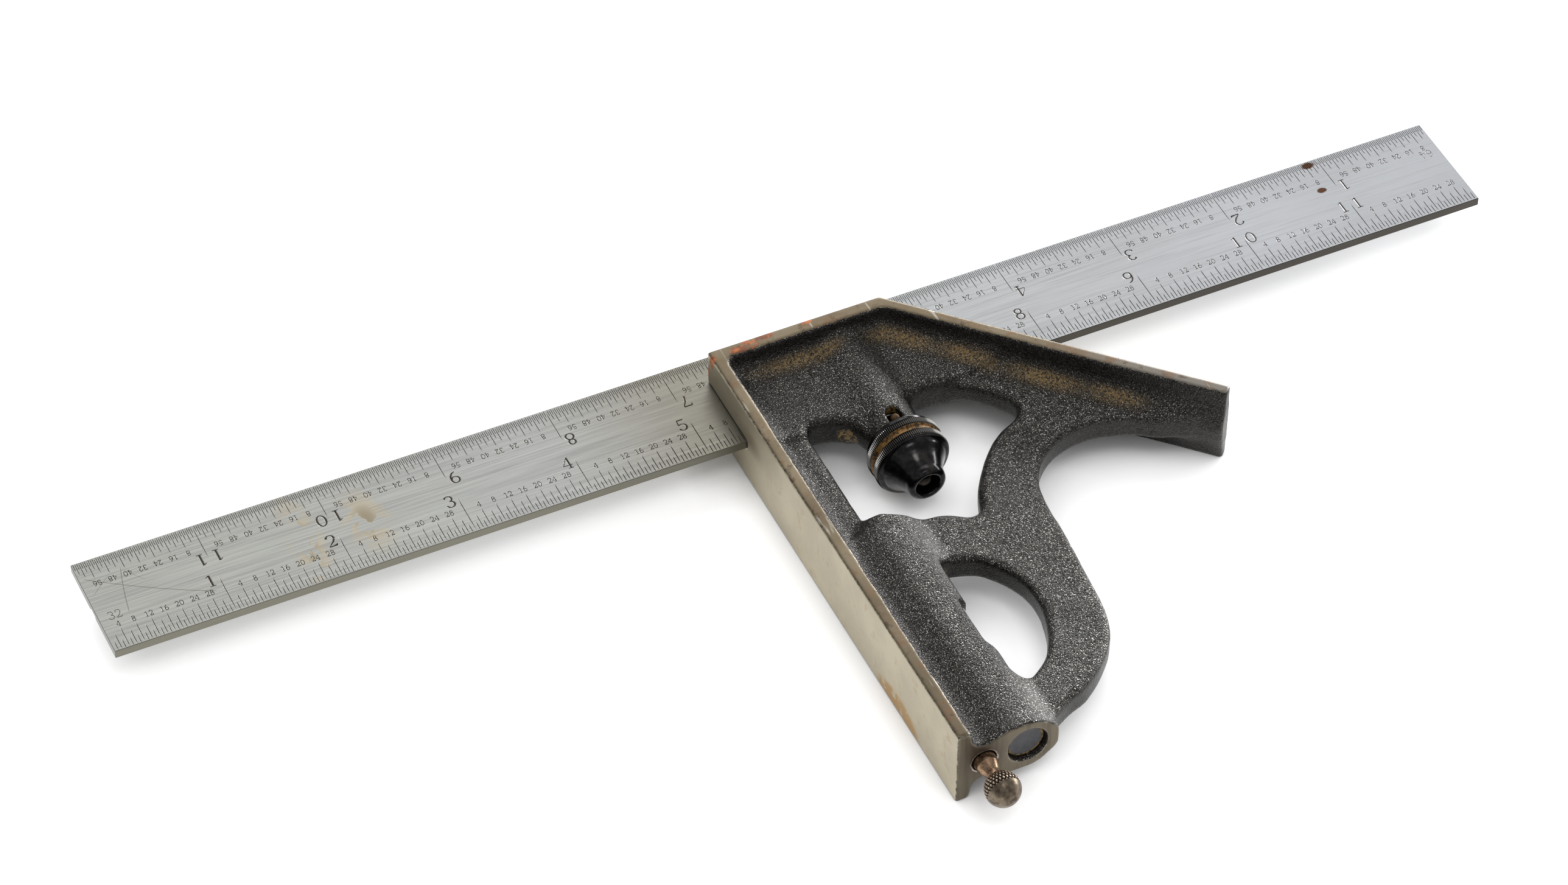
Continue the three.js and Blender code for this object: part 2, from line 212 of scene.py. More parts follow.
# ---- Materials ----
class Look:
    """A small helper that writes one procedural material."""

    def __init__(self, name, **sockets):
        self.material = bpy.data.materials.new(name)
        self.material.use_nodes = True
        self.tree = self.material.node_tree
        self.shader = self.tree.nodes["Principled BSDF"]
        self.place = self.add("ShaderNodeTexCoord").outputs["Object"]
        for key, value in sockets.items():
            self.shader.inputs[key.replace("_", " ")].default_value = value

    def add(self, kind, **settings):
        node = self.tree.nodes.new(kind)
        for key, value in settings.items():
            setattr(node, key, value)
        return node

    def put(self, socket, value):
        if isinstance(value, bpy.types.NodeSocket):
            self.tree.links.new(value, socket)
        elif value is not None:
            socket.default_value = value

    def at(self, scale, shift=(0, 0, 0)):
        """Coordinates scaled per axis, from metres."""
        node = self.add("ShaderNodeMapping")
        self.put(node.inputs["Vector"], self.place)
        node.inputs["Scale"].default_value = scale
        node.inputs["Location"].default_value = shift
        return node.outputs["Vector"]

    def noise(self, scale, detail=3.0, roughness=0.55, stretch=(1, 1, 1), distortion=0.0):
        node = self.add("ShaderNodeTexNoise")
        self.put(node.inputs["Vector"], self.at(stretch))
        node.inputs["Scale"].default_value = scale
        node.inputs["Detail"].default_value = detail
        node.inputs["Roughness"].default_value = roughness
        node.inputs["Distortion"].default_value = distortion
        return node.outputs["Fac"]

    def cells(self, scale):
        node = self.add("ShaderNodeTexVoronoi")
        self.put(node.inputs["Vector"], self.at((1, 1, 1)))
        node.inputs["Scale"].default_value = scale
        return node.outputs["Distance"]

    def math(self, operation, a, b=None):
        node = self.add("ShaderNodeMath", operation=operation)
        for socket, value in zip(node.inputs, (a, b)):
            self.put(socket, value)
        return node.outputs["Value"]

    def times(self, first, *others):
        """The product of several values."""
        for other in others:
            first = self.math("MULTIPLY", first, other)
        return first

    def most(self, first, *others):
        """The largest of several values."""
        for other in others:
            first = self.math("MAXIMUM", first, other)
        return first

    def step(self, value, low, high, to_low=0.0, to_high=1.0):
        """to_low below low, to_high above high, and smooth between them."""
        node = self.add("ShaderNodeMapRange", interpolation_type="SMOOTHSTEP")
        self.put(node.inputs["Value"], value)
        node.inputs["From Min"].default_value = low
        node.inputs["From Max"].default_value = high
        node.inputs["To Min"].default_value = to_low
        node.inputs["To Max"].default_value = to_high
        return node.outputs["Result"]

    def fall(self, value, low, high):
        """1 below low, 0 above high, and smooth between them."""
        return self.step(value, low, high, 1.0, 0.0)

    def mix(self, share, a, b):
        """One colour turning into another as share goes from 0 to 1."""
        node = self.add("ShaderNodeMix", data_type="RGBA")
        self.put(node.inputs["Factor"], share)
        self.put(node.inputs[6], a)
        self.put(node.inputs[7], b)
        return node.outputs[2]

    def blend(self, share, a, b):
        """One number turning into another as share goes from 0 to 1."""
        node = self.add("ShaderNodeMix", data_type="FLOAT")
        self.put(node.inputs["Factor"], share)
        self.put(node.inputs[2], a)
        self.put(node.inputs[3], b)
        return node.outputs[0]

    def value(self, name):
        """A number that add_values wrote on the mesh."""
        return self.add("ShaderNodeAttribute", attribute_name=name).outputs["Fac"]

    def axis(self, letter, origin=(0, 0, 0)):
        """One coordinate, in millimetres from a point of the head's frame."""
        node = self.add("ShaderNodeSeparateXYZ")
        shift = [-(ORIGIN[i] + origin[i] * MM) / MM for i in range(3)]
        self.put(node.inputs[0], self.at((1 / MM, 1 / MM, 1 / MM), shift))
        return node.outputs[letter]

    def spot(self, centre, size):
        """1 at centre and 0 outside an ellipsoid of that half size, in millimetres."""
        node = self.add("ShaderNodeMapping")
        self.put(node.inputs["Vector"], self.place)
        scale = [1 / (s * MM) for s in size]
        node.inputs["Scale"].default_value = scale
        node.inputs["Location"].default_value = [
            -(ORIGIN[i] + centre[i] * MM) * scale[i] for i in range(3)
        ]
        length = self.add("ShaderNodeVectorMath", operation="LENGTH")
        self.put(length.inputs[0], node.outputs["Vector"])
        return self.fall(length.outputs["Value"], 0.0, 1.0)

    def spots(self, places):
        """The largest of several spots, each given as (centre, size)."""
        return self.most(*[self.spot(*place) for place in places])

    def bump(self, height, distance, strength=1.0):
        node = self.add("ShaderNodeBump")
        node.inputs["Strength"].default_value = strength
        node.inputs["Distance"].default_value = distance * MM
        self.put(node.inputs["Height"], height)
        return node.outputs["Normal"]

    def surface(self, **sockets):
        for key, value in sockets.items():
            self.put(self.shader.inputs[key.replace("_", " ")], value)
        return self.material


def rgb(r, g, b):
    """A display colour from 0 to 255 as the linear colour that shaders use."""
    return tuple(
        (c / 255 / 12.92) if c / 255 <= 0.04045 else ((c / 255 + 0.055) / 1.055) ** 2.4
        for c in (r, g, b)
    ) + (1.0,)


# The marks of age on the head, and the spots of painted shade on the ridge's top and round the scriber's
# knob, each a (centre, half size) in millimetres.
RIDGE_TOP_SHADE = ((17.5, -66, 6), (4, 40, 3))
BROWNED = ((0, -2.5, 2.5), (3, 7, 4))
AMBER_STAIN = ((0, -70, -8.6), (4, 13, 6))
END_SHADE = ((5.5, -95.4, 1), (7, 4, 8))
DUST = [
    ((18, 15, 4), (16, 6, 5)),
    ((24, 14, 4), (7, 7, 5)),
    ((41, 12, 4), (12, 12, 6)),
    ((51, 2, 4), (11, 11, 6)),
    ((63, -10, 4), (13, 13, 6)),
    ((74, -20, 4), (10, 10, 6)),
]
GRIME = [
    ((20.5, -5, -0.5), (4, 4.5, 3)),
    ((20, -50.5, 0), (3, 4, 3)),
    ((15.3, -94.3, 0), (5.5, 1.0, 5.5)),
    ((28.3, -8.6, 4.5), (2.2, 3, 2.5)),
]
RUST = [
    ((8, 17, 9), (5.5, 2.6, 4)),
    ((12.5, 18.4, 9), (3, 1.6, 4)),
    ((22, 18.4, 9), (1.8, 0.9, 4)),
    ((0.2, 16.6, 9), (1, 1.6, 4)),
    ((0, 18.5, 4), (1.5, 1, 3)),
    ((0, 2.2, 0.8), (1.5, 3.5, 0.7)),
]


def japan_paint(k, coarse, glint_specks):
    """The paint's colour, with painted glints on its specks and painted shade near the rim walls, on
    steep faces and on the ridge's top, and how much brown dust lies on it.
    """
    flat, from_rim = k.value("flat"), k.value("from_rim")
    paint = k.mix(k.step(coarse, 0.38, 0.62), rgb(29, 27, 25), rgb(62, 60, 56))
    # Painted glints: pale specks, more of them on faces that look up.
    paint = k.mix(k.times(glint_specks, k.step(flat, 0.1, 0.9, 0.2, 0.78)), paint, rgb(204, 202, 197))
    # Painted shade: darker near the rim walls, on faces that stand steep and on the ridge's top.
    shade = k.most(
        k.step(from_rim, 0.0, 7.0, 0.25, 0.0),
        k.step(flat, 0.15, 0.75, 0.42, 0.0),
        k.times(k.spot(*RIDGE_TOP_SHADE), 0.8),
    )
    paint = k.mix(shade, paint, rgb(18, 16, 15))
    in_fillet = k.times(k.step(from_rim, 0.1, 1.3), k.fall(from_rim, 1.6, 5.0))
    dust = k.times(k.spots(DUST), in_fillet, k.step(k.noise(2100, 4, 0.65), 0.36, 0.62))
    grime = k.times(k.spots(GRIME), k.step(k.noise(1300, 4, 0.6), 0.35, 0.6))
    dust = k.most(dust, k.step(grime, 0.08, 0.5))
    return k.mix(dust, paint, rgb(150, 122, 74)), dust


def face_steel(k, cloud, blotch):
    """The ground faces: pale and stained, and darker on the end that the scriber comes out of, with
    painted shade round the scriber's knob.
    """
    face = k.mix(k.step(cloud, 0.35, 0.65), rgb(178, 169, 147), rgb(194, 185, 162))
    face = k.mix(k.step(k.axis("Y"), -14, 6), face, rgb(174, 165, 144))
    face = k.mix(k.times(k.step(blotch, 0.56, 0.7), 0.35), face, rgb(150, 120, 84))
    face = k.mix(k.times(k.spot(*BROWNED), 0.5), face, rgb(110, 92, 68))
    amber = k.times(k.spot(*AMBER_STAIN), k.step(blotch, 0.34, 0.5))
    face = k.mix(k.step(amber, 0.08, 0.4), face, rgb(172, 140, 92))
    brushed = k.step(k.noise(900, 3, 0.6, stretch=(1, 1, 0.06)), 0.4, 0.7)
    end = k.mix(k.times(brushed, 0.6), rgb(106, 97, 81), rgb(74, 65, 54))
    # Painted shade round the scriber's knob.
    end = k.mix(k.spot(*END_SHADE), end, rgb(70, 60, 50))
    return k.mix(k.step(k.axis("Y"), BOTTOM + 0.1, BOTTOM + 0.2, 0.96, 0.0), face, end)


def rim_steel(k, cloud, blotch, fine):
    """The rims: browner than the faces, pitted and scratched, and cleaner towards the mitre's tip."""
    rim = k.mix(k.step(cloud, 0.35, 0.65), rgb(108, 95, 74), rgb(132, 120, 99))
    rim = k.mix(k.step(k.axis("X"), 58, 84), rim, rgb(122, 117, 109))
    rim = k.mix(k.step(k.axis("Y"), -95, -40, 0.35, 0.0), rim, rgb(70, 60, 48))
    rim = k.mix(k.times(k.step(blotch, 0.5, 0.66), 0.6), rim, rgb(120, 92, 66))
    rim = k.mix(k.times(k.step(fine, 0.56, 0.7), 0.8), rim, rgb(84, 68, 54))
    scratch = k.step(k.noise(700, 2, 0.5, stretch=(1, 0.12, 1)), 0.62, 0.7)
    return k.mix(k.times(scratch, 0.5), rim, rgb(206, 202, 192))


def ground_steel(k, gap, cloud, fine):
    """The bare iron's colour with a painted highlight along the square rim's inner edge, and how much
    rust is on it.
    """
    blotch = k.noise(230, 4, 0.65)
    on_rim = k.step(k.math("ABSOLUTE", k.axis("Z")), HALF - 0.3, HALF - 0.1)
    steel = k.mix(on_rim, face_steel(k, cloud, blotch), rim_steel(k, cloud, blotch, fine))
    rust = k.times(k.step(k.noise(420, 5, 0.7), 0.4, 0.56), k.spots(RUST))
    rust = k.step(rust, 0.12, 0.34)
    steel = k.mix(rust, steel, k.mix(k.step(fine, 0.4, 0.6), rgb(196, 112, 58), rgb(128, 78, 48)))
    polished = k.times(k.step(k.value("edge_wear"), 0.3, 0.7), k.step(gap, 0.02, 0.12))
    steel = k.mix(polished, steel, rgb(226, 222, 212))
    # Painted highlight: a near-white line along the inner edge of the square face's rims, fading towards
    # the blade.
    painted_edge_highlight = k.fall(k.math("ABSOLUTE", k.axis("X", (RIM - 0.1, 0, 0))), 0.06, 0.17)
    painted_edge_highlight = k.times(painted_edge_highlight, k.step(k.axis("Y"), -66, -8, 0.95, 0.1), on_rim)
    return k.mix(painted_edge_highlight, steel, rgb(246, 244, 238)), rust


def iron_look():
    """Coarse black japan on the cast faces, bare tarnished iron on the ground ones, with painted glints,
    painted shade and a painted edge highlight.
    """
    k = Look("cast_iron_japan_and_ground")
    gap = k.value("ground_gap")
    ragged_gap = k.math("ADD", gap, k.times(k.noise(900, 2), 0.25))
    ground = k.fall(ragged_gap, 0.2, 0.34)
    pebble = k.cells(3300)
    coarse = k.noise(1500, 4.0, 0.65)
    # Specks that are painted pale as glints, and made more metallic.
    glint_specks = k.step(k.noise(4200, 2, 0.5), 0.58, 0.66)
    cloud = k.noise(60, 5, 0.6)
    fine = k.noise(500, 4, 0.7)
    japan, dust = japan_paint(k, coarse, glint_specks)
    steel, rust = ground_steel(k, gap, cloud, fine)

    grain = k.noise(900, 3, 0.6, stretch=(1, 0.05, 1))
    height = k.math("SUBTRACT", k.times(coarse, 0.9), k.times(pebble, 0.8))
    normal = k.add("ShaderNodeMix", data_type="VECTOR")
    k.put(normal.inputs["Factor"], ground)
    k.put(normal.inputs[4], k.bump(height, 0.13, 1.0))
    k.put(normal.inputs[5], k.bump(k.math("ADD", grain, fine), 0.01, 0.5))
    metal = k.blend(ground, k.blend(glint_specks, 0.65, 0.9), 0.75)
    japan_rough = k.blend(k.step(coarse, 0.35, 0.65), 0.27, 0.38)
    return k.surface(
        Base_Color=k.mix(ground, japan, steel),
        Roughness=k.blend(ground, japan_rough, k.blend(cloud, 0.42, 0.55)),
        Metallic=k.times(metal, k.math("SUBTRACT", 1.0, k.times(k.most(dust, rust), 0.7))),
        Normal=normal.outputs[1],
    )


def rule_look():
    """Satin steel with lengthwise grain, dark figures, an old stain and a few scratches, and painted
    shade beside the head.
    """
    k = Look("rule_steel", Metallic=1.0)
    streak = k.noise(2600, 3, 0.6, stretch=(0.02, 1, 1))
    broad = k.noise(40, 4, 0.6, stretch=(0.4, 1, 1))
    along = k.axis("X")
    across = k.axis("Y")
    base = k.mix(k.step(along, -135, 170), rgb(143, 144, 139), rgb(160, 162, 166))
    base = k.mix(k.times(k.step(broad, 0.3, 0.7), 0.35), base, rgb(138, 138, 136))
    base = k.mix(k.times(k.step(streak, 0.5, 0.75), 0.4), base, rgb(134, 134, 134))
    # Painted shade on the rule where it runs beside and into the head.
    painted_head_shade = k.times(k.step(along, -42, -4), k.fall(along, 10, 48))
    base = k.mix(k.times(painted_head_shade, 0.65), base, rgb(112, 106, 90))
    stain = k.step(k.noise(170, 6, 0.6, distortion=0.8), 0.47, 0.52)
    stain = k.times(stain, k.spots([((-90.5, 11, 1), (5, 19, 3)), ((-77.5, 12, 1), (7, 12, 3))]))
    base = k.mix(k.times(stain, 0.65), base, rgb(158, 143, 112))
    spots = k.spots([((141.9, 23.9, 1), (2.6, 1.6, 2)), ((140.9, 16, 1), (2, 1.4, 2))])
    spots = k.step(k.times(spots, k.noise(700, 4, 0.7)), 0.14, 0.3)
    base = k.mix(spots, base, rgb(74, 48, 32))

    def scratch(middle, reach, slope, curve, width, swapped=False):
        """A fine line: across = slope * along + curve * along squared, from its middle."""
        u, v = k.axis("X", (*middle, 0)), k.axis("Y", (*middle, 0))
        if swapped:
            u, v = v, u
        path = k.times(u, k.math("ADD", slope, k.times(u, curve)))
        off = k.math("ABSOLUTE", k.math("SUBTRACT", v, path))
        ends = k.fall(k.math("ABSOLUTE", u), reach - 1, reach)
        return k.times(k.fall(off, width * 0.4, width), ends)

    scratches = k.most(
        scratch((-122.7, 12.9), 11.7, -0.61, 0.0055, 0.14),
        scratch((-127.7, 14.65), 6.2, 0.215, 0.006, 0.12, True),
        scratch((-131.5, 17.5), 2.5, 0.9, 0.0, 0.09),
        scratch((-124.5, 17.5), 2.0, -1.4, 0.1, 0.09),
    )
    base = k.mix(k.times(scratches, 0.7), base, rgb(92, 88, 78))
    cut = k.step(k.value("engraved"), 0.1, 0.8)
    base = k.mix(cut, base, rgb(66, 58, 50))
    side = k.fall(across, 0.06, 0.14)
    base = k.mix(side, base, k.mix(k.step(along, -60, 60), rgb(126, 124, 112), rgb(74, 71, 66)))
    rough = k.blend(k.step(streak, 0.3, 0.7), 0.34, 0.46)
    rough = k.most(rough, k.times(k.most(stain, cut), 0.6))
    grain = k.bump(k.math("ADD", streak, k.noise(900, 3, 0.6, stretch=(0.05, 1, 1))), 0.012, 0.6)
    return k.surface(Base_Color=base, Roughness=rough, Normal=grain)


def turned_look(name, light, dark, rough, metallic=1.0, patch=150, speck=900, depth=0.02):
    """Turned metal with uneven tarnish."""
    k = Look(name, Metallic=metallic)
    cloud = k.step(k.noise(patch, 5, 0.6), 0.38, 0.62)
    fine = k.noise(speck, 4, 0.7)
    colour = k.mix(cloud, light, dark)
    colour = k.mix(k.times(k.step(fine, 0.55, 0.8), 0.5), colour, dark)
    return k.surface(
        Base_Color=colour,
        Roughness=k.blend(fine, rough * 0.8, rough * 1.3),
        Normal=k.bump(fine, depth, 0.6),
    )


def knob_look():
    """Bronzed steel: a coppery neck, brown grooves in the knurl and a grey, worn ball."""
    k = Look("scriber_bronze", Metallic=1.0)
    fine = k.noise(900, 4, 0.7)
    cloud = k.step(k.noise(330, 5, 0.65), 0.36, 0.62)
    grey = k.mix(cloud, rgb(132, 120, 104), rgb(70, 60, 50))
    copper = k.mix(k.step(fine, 0.42, 0.66), rgb(166, 138, 112), rgb(92, 71, 56))
    colour = k.mix(k.step(k.axis("Y"), -103.2, -100.6), grey, copper)
    colour = k.mix(k.value("groove"), colour, rgb(58, 40, 28))
    colour = k.mix(k.value("crest"), colour, rgb(214, 200, 184))
    return k.surface(
        Base_Color=colour, Roughness=k.blend(fine, 0.26, 0.44), Normal=k.bump(fine, 0.035, 0.6)
    )


def nut_look():
    """Glossy blue-black steel, with worn brass-brown in the groove between its knurls."""
    k = Look("blued_steel", Metallic=0.9)
    fine = k.noise(700, 4, 0.6)
    turning = k.noise(500, 3, 0.6, stretch=(1, 0.04, 1))
    colour = k.mix(k.step(fine, 0.4, 0.7), rgb(36, 35, 36), rgb(56, 54, 54))
    colour = k.mix(k.times(k.step(turning, 0.5, 0.7), 0.4), colour, rgb(92, 88, 84))
    grime = k.step(k.noise(1300, 4, 0.7), 0.42, 0.62)
    colour = k.mix(k.value("crest"), colour, rgb(160, 158, 154))
    colour = k.mix(k.value("worn"), colour, k.mix(grime, rgb(150, 112, 58), rgb(58, 42, 26)))
    return k.surface(
        Base_Color=colour,
        Metallic=k.blend(k.value("worn"), 0.9, 0.35),
        Roughness=k.blend(k.value("worn"), k.blend(fine, 0.14, 0.26), 0.5),
        Normal=k.bump(k.math("ADD", fine, turning), 0.01, 0.4),
    )


def disc_look():
    """A dark grey disc with a ring of old brown grime where it meets its bore."""
    k = Look("end_disc_grey")
    fine = k.noise(900, 4, 0.6)
    ring = k.step(k.spot((LEVEL_X, BOTTOM + 1.3, 0), (4.3, 6, 4.3)), 0.03, 0.14, 1.0, 0.0)
    colour = k.mix(k.step(fine, 0.35, 0.65), rgb(60, 61, 66), rgb(48, 48, 52))
    colour = k.mix(ring, colour, k.mix(k.step(fine, 0.42, 0.6), rgb(150, 122, 70), rgb(48, 38, 26)))
    return k.surface(
        Base_Color=colour, Roughness=k.blend(ring, 0.38, 0.8), Normal=k.bump(fine, 0.02, 0.5)
    )


def plain_look(name, light, dark, rough, scale=400, **sockets):
    """A mostly even material with a fine mottle."""
    k = Look(name, **sockets)
    fine = k.noise(scale, 4, 0.6)
    return k.surface(
        Base_Color=k.mix(k.step(fine, 0.35, 0.65), light, dark),
        Roughness=k.blend(fine, rough * 0.85, rough * 1.2),
        Normal=k.bump(fine, 0.01, 0.3),
    )


# ---- The head's casting, as a distance field ----
def spline(points, n=8):
    """Catmull-Rom points through the given ones."""
    points = [np.array(p, float) for p in points]
    out = []
    for i in range(len(points) - 1):
        p0, p3 = points[max(i - 1, 0)], points[min(i + 2, len(points) - 1)]
        p1, p2 = points[i], points[i + 1]
        v0, v1 = (p2 - p0) / 2, (p3 - p1) / 2
        for j in range(n):
            t = j / n
            out.append(
                (2 * p1 - 2 * p2 + v0 + v1) * t**3
                + (-3 * p1 + 3 * p2 - 2 * v0 - v1) * t**2
                + v0 * t
                + p1
            )
    return out + [points[-1]]


def bend(a, corner, b, n=8):
    a, corner, b = (np.array(p, float) for p in (a, corner, b))
    return [(1 - t) ** 2 * a + 2 * t * (1 - t) * corner + t * t * b for t in np.linspace(0, 1, n + 1)]


def outline_distance(x, y, loop):
    """Signed distance to a closed outline, negative inside it."""
    loop = np.array(loop, float)
    best = np.full(np.broadcast(x, y).shape, 1e9)
    inside = np.zeros(best.shape, bool)
    for a, b in zip(loop, np.roll(loop, -1, 0)):
        e = b - a
        size = e @ e
        if size < 1e-12:
            continue
        t = np.clip(((x - a[0]) * e[0] + (y - a[1]) * e[1]) / size, 0, 1)
        best = np.minimum(best, (x - a[0] - t * e[0]) ** 2 + (y - a[1] - t * e[1]) ** 2)
        if a[1] != b[1]:
            crosses = (a[1] > y) != (b[1] > y)
            inside ^= crosses & (x < e[0] * (y - a[1]) / e[1] + a[0])
    distance = np.sqrt(best)
    return np.where(inside, -distance, distance)


def join_round(a, b, r):
    """Union of two solids with a fillet of radius r between them."""
    u, v = np.maximum(r - a, 0), np.maximum(r - b, 0)
    return np.maximum(r, np.minimum(a, b)) - np.sqrt(u * u + v * v)


def cut_round(a, b, r):
    """Intersection of two solids with its edge rounded to radius r."""
    u, v = np.maximum(r + a, 0), np.maximum(r + b, 0)
    return np.minimum(-r, np.maximum(a, b)) + np.sqrt(u * u + v * v)


def soft_noise(shape, step, seed):
    """Smooth noise from -1 to 1 on a grid, with features of step cells."""
    random = np.random.RandomState(seed)
    field = random.uniform(-1, 1, [n // step + 3 for n in shape])
    for axis, n in enumerate(shape):
        at = np.arange(n) / step
        low = at.astype(int)
        t = at - low
        t = t * t * (3 - 2 * t)
        t = t.reshape([-1 if i == axis else 1 for i in range(3)])
        field = np.take(field, low, axis) * (1 - t) + np.take(field, low + 1, axis) * t
    return field


SWEEP = spline(
    [
        (21.6, -95.4), (22.2, -93.2), (26.5, -90.5), (31.5, -88.4), (37.2, -84.1), (41.7, -78.4),
        (44, -71.3), (44.9, -63.4), (45.6, -56), (46.2, -48.5), (46.6, -41.5), (48.2, -35),
        (52.5, -29.6), (58.5, -26.8), (65, -26.1), (72, -28), (78, -31.4), (83, -32.6), (86, -32.3),
    ]
)
WEB_PLAN = [(-30, -130), (21.6, -130), *SWEEP, (140, -86), (140, 60), (-30, 60)]
NUT_WINDOW = [
    (11.3, -5.8),
    *bend((11.3, -30), (11.3, -32.2), (13.4, -32.7)),
    *spline([(13.4, -32.7), (17, -34.2), (22, -35), (27, -36), (30.5, -38)])[1:],
    *bend((30.5, -38), (33, -39), (34, -36.8))[1:],
    *spline([(34, -36.8), (36.4, -31.4), (40.4, -25.9), (45.4, -20.9), (51, -18)])[1:],
    *bend((51, -18), (54.5, -15.5), (52.4, -12.2))[1:],
    *spline([(52.4, -12.2), (47.2, -6.4), (41.8, -3.6)])[1:],
    (LOCK_X, -3.6),
    *bend((LOCK_X - 6, -9), (LOCK_X - 9, -3.6), (13.5, -3.6)),
    *bend((13.5, -3.6), (11.3, -3.6), (11.3, -5.8))[1:],
]
LEVEL_WINDOW = [
    (19.3, -50),
    *bend((19.3, -79.8), (20.2, -82), (23, -81.8)),
    *spline(
        [(23, -81.8), (27.7, -78.2), (31.2, -72), (32.9, -64.6), (32, -57.4), (27.6, -50.6), (22, -48.2)]
    )[1:],
    *bend((22, -48.2), (19.3, -48), (19.3, -50))[1:],
]


def ground_planes(x, y, z):
    """Signed distances beyond the head's ground faces: square, top, mitre, end and both rims."""
    mitre = (x + y - MITRE_SUM) / math.sqrt(2)
    return [-x, y - TOP, mitre, BOTTOM - y, np.abs(z) - HALF]


def rim_walls(x, y, z):
    """Distances from the inner walls of the square, top and mitre rims."""
    slope = (HALF - np.abs(z)) * DRAFT
    mitre = (MITRE_SUM - x - y) / math.sqrt(2)
    return [x - RIM - slope, TOP - TOP_RIM - y - slope, mitre - MITRE_RIM - slope]


def head_field(x, y, z, shape):
    """The head's signed distance on a grid, with its windows, slot and bores cut out."""
    bar_right, bar_high, ridge_end, boss_high = 11.5, -36, -31, 17
    cast_fillet, window_edge = 3.4, 2.0
    az = np.abs(z)
    square_wall, top_wall, mitre_wall = rim_walls(x, y, z)
    walls = join_round(join_round(square_wall, top_wall, 2.0), mitre_wall, 1.0)
    end = (x - TIP_X - (y - MITRE_SUM + TIP_X)) / math.sqrt(2)
    walls = cut_round(walls, end, 0.6)

    plan = outline_distance(x, y, WEB_PLAN)
    pad_edge = PAD_EDGE + PAD_SLOPE * (np.clip(x, 30, 60) - 30)
    pad = np.clip((y - pad_edge) / PAD_STEP, 0, 1)
    pad = (PAD_HALF - WEB_HALF) * pad * pad * (3 - 2 * pad)
    web = cut_round(az - WEB_HALF - pad, plan, 1.3)
    body = join_round(walls, web, cast_fillet)

    bar = cut_round(az - BAR_HALF, np.maximum(x - bar_right, y - bar_high), 1.5)
    ridge = np.sqrt((x - LEVEL_X) ** 2 + z * z) - LEVEL_RADIUS
    ridge = cut_round(ridge, y - ridge_end, 2.5)
    body = join_round(body, join_round(bar, ridge, 5.0), 1.6)

    body = cut_round(body, -outline_distance(x, y, NUT_WINDOW), window_edge)
    body = cut_round(body, -outline_distance(x, y, LEVEL_WINDOW), 1.4)

    boss = np.sqrt((x - LOCK_X) ** 2 + z * z) - LOCK_RADIUS
    boss = cut_round(boss, LOCK_END - y, 0.7)
    boss = cut_round(boss, y - boss_high, 3.0)
    body = join_round(body, boss, 2.2)
    body = body + 0.05 * soft_noise(shape, 4, 11) + 0.09 * soft_noise(shape, 13, 12)

    outer = None
    for plane in ground_planes(x, y, z):
        outer = plane if outer is None else cut_round(outer, plane, 0.35)
    body = cut_round(cut_round(body, outer, 0.2), end, 0.4)

    def rod_at(x0, z0, radius):
        return np.sqrt((x - x0) ** 2 + (z - z0) ** 2) - radius

    vial, lip_inside, bushing, point, spring, bolt = 4.15, 2.5, 2.85, 1.4, 3.7, 2.75
    slot = np.maximum(az - BLADE_HALF - 0.08, -0.08 - y)
    level_bore = np.maximum(rod_at(LEVEL_X, 0, vial), y - (LEVEL_Y + 22.2))
    lip = np.maximum(rod_at(SCRIBER_X, 0, lip_inside), y - (BOTTOM + 2))
    scriber_bore = np.maximum(rod_at(SCRIBER_X, 0, bushing), np.abs(y - (BOTTOM + 13)) - 12)
    scriber_bore = np.minimum(scriber_bore, lip)
    scriber_bore = np.minimum(scriber_bore, np.maximum(rod_at(SCRIBER_X, 0, point), y - (BOTTOM + 56)))
    lock_bore = np.maximum(rod_at(LOCK_X, 0, spring), np.maximum(-8 - y, y - 14.8))
    lock_hole = np.maximum(rod_at(LOCK_X, 0, bolt), np.maximum(LOCK_END - 1 - y, y + 7))
    keyway = np.sqrt((x - LOCK_X) ** 2 + np.maximum(y + 9, 0) ** 2) - 1.5
    keyway = np.maximum(np.maximum(keyway, -z), np.maximum(LOCK_END - 1 - y, y + 7))
    run_out = np.maximum(-(y + 71), 0)
    notch = np.maximum(APERTURE_X + run_out**2 * 0.14 - x, np.maximum(x - 24, y + 60.6))
    notch = np.maximum(notch, -76 - y)
    for hole in (slot, level_bore, scriber_bore, lock_bore, lock_hole, keyway, notch):
        body = cut_round(body, -hole, 0.15)
    return body


def sampled(field, at):
    """The grid's value at points given in cells."""
    low = np.clip(np.floor(at).astype(int), 0, np.array(field.shape) - 2)
    t = at - low
    total = 0
    for corner in np.ndindex(2, 2, 2):
        weight = np.prod(np.where(corner, t, 1 - t), axis=1)
        i = low + corner
        total = total + weight * field[i[:, 0], i[:, 1], i[:, 2]]
    return total


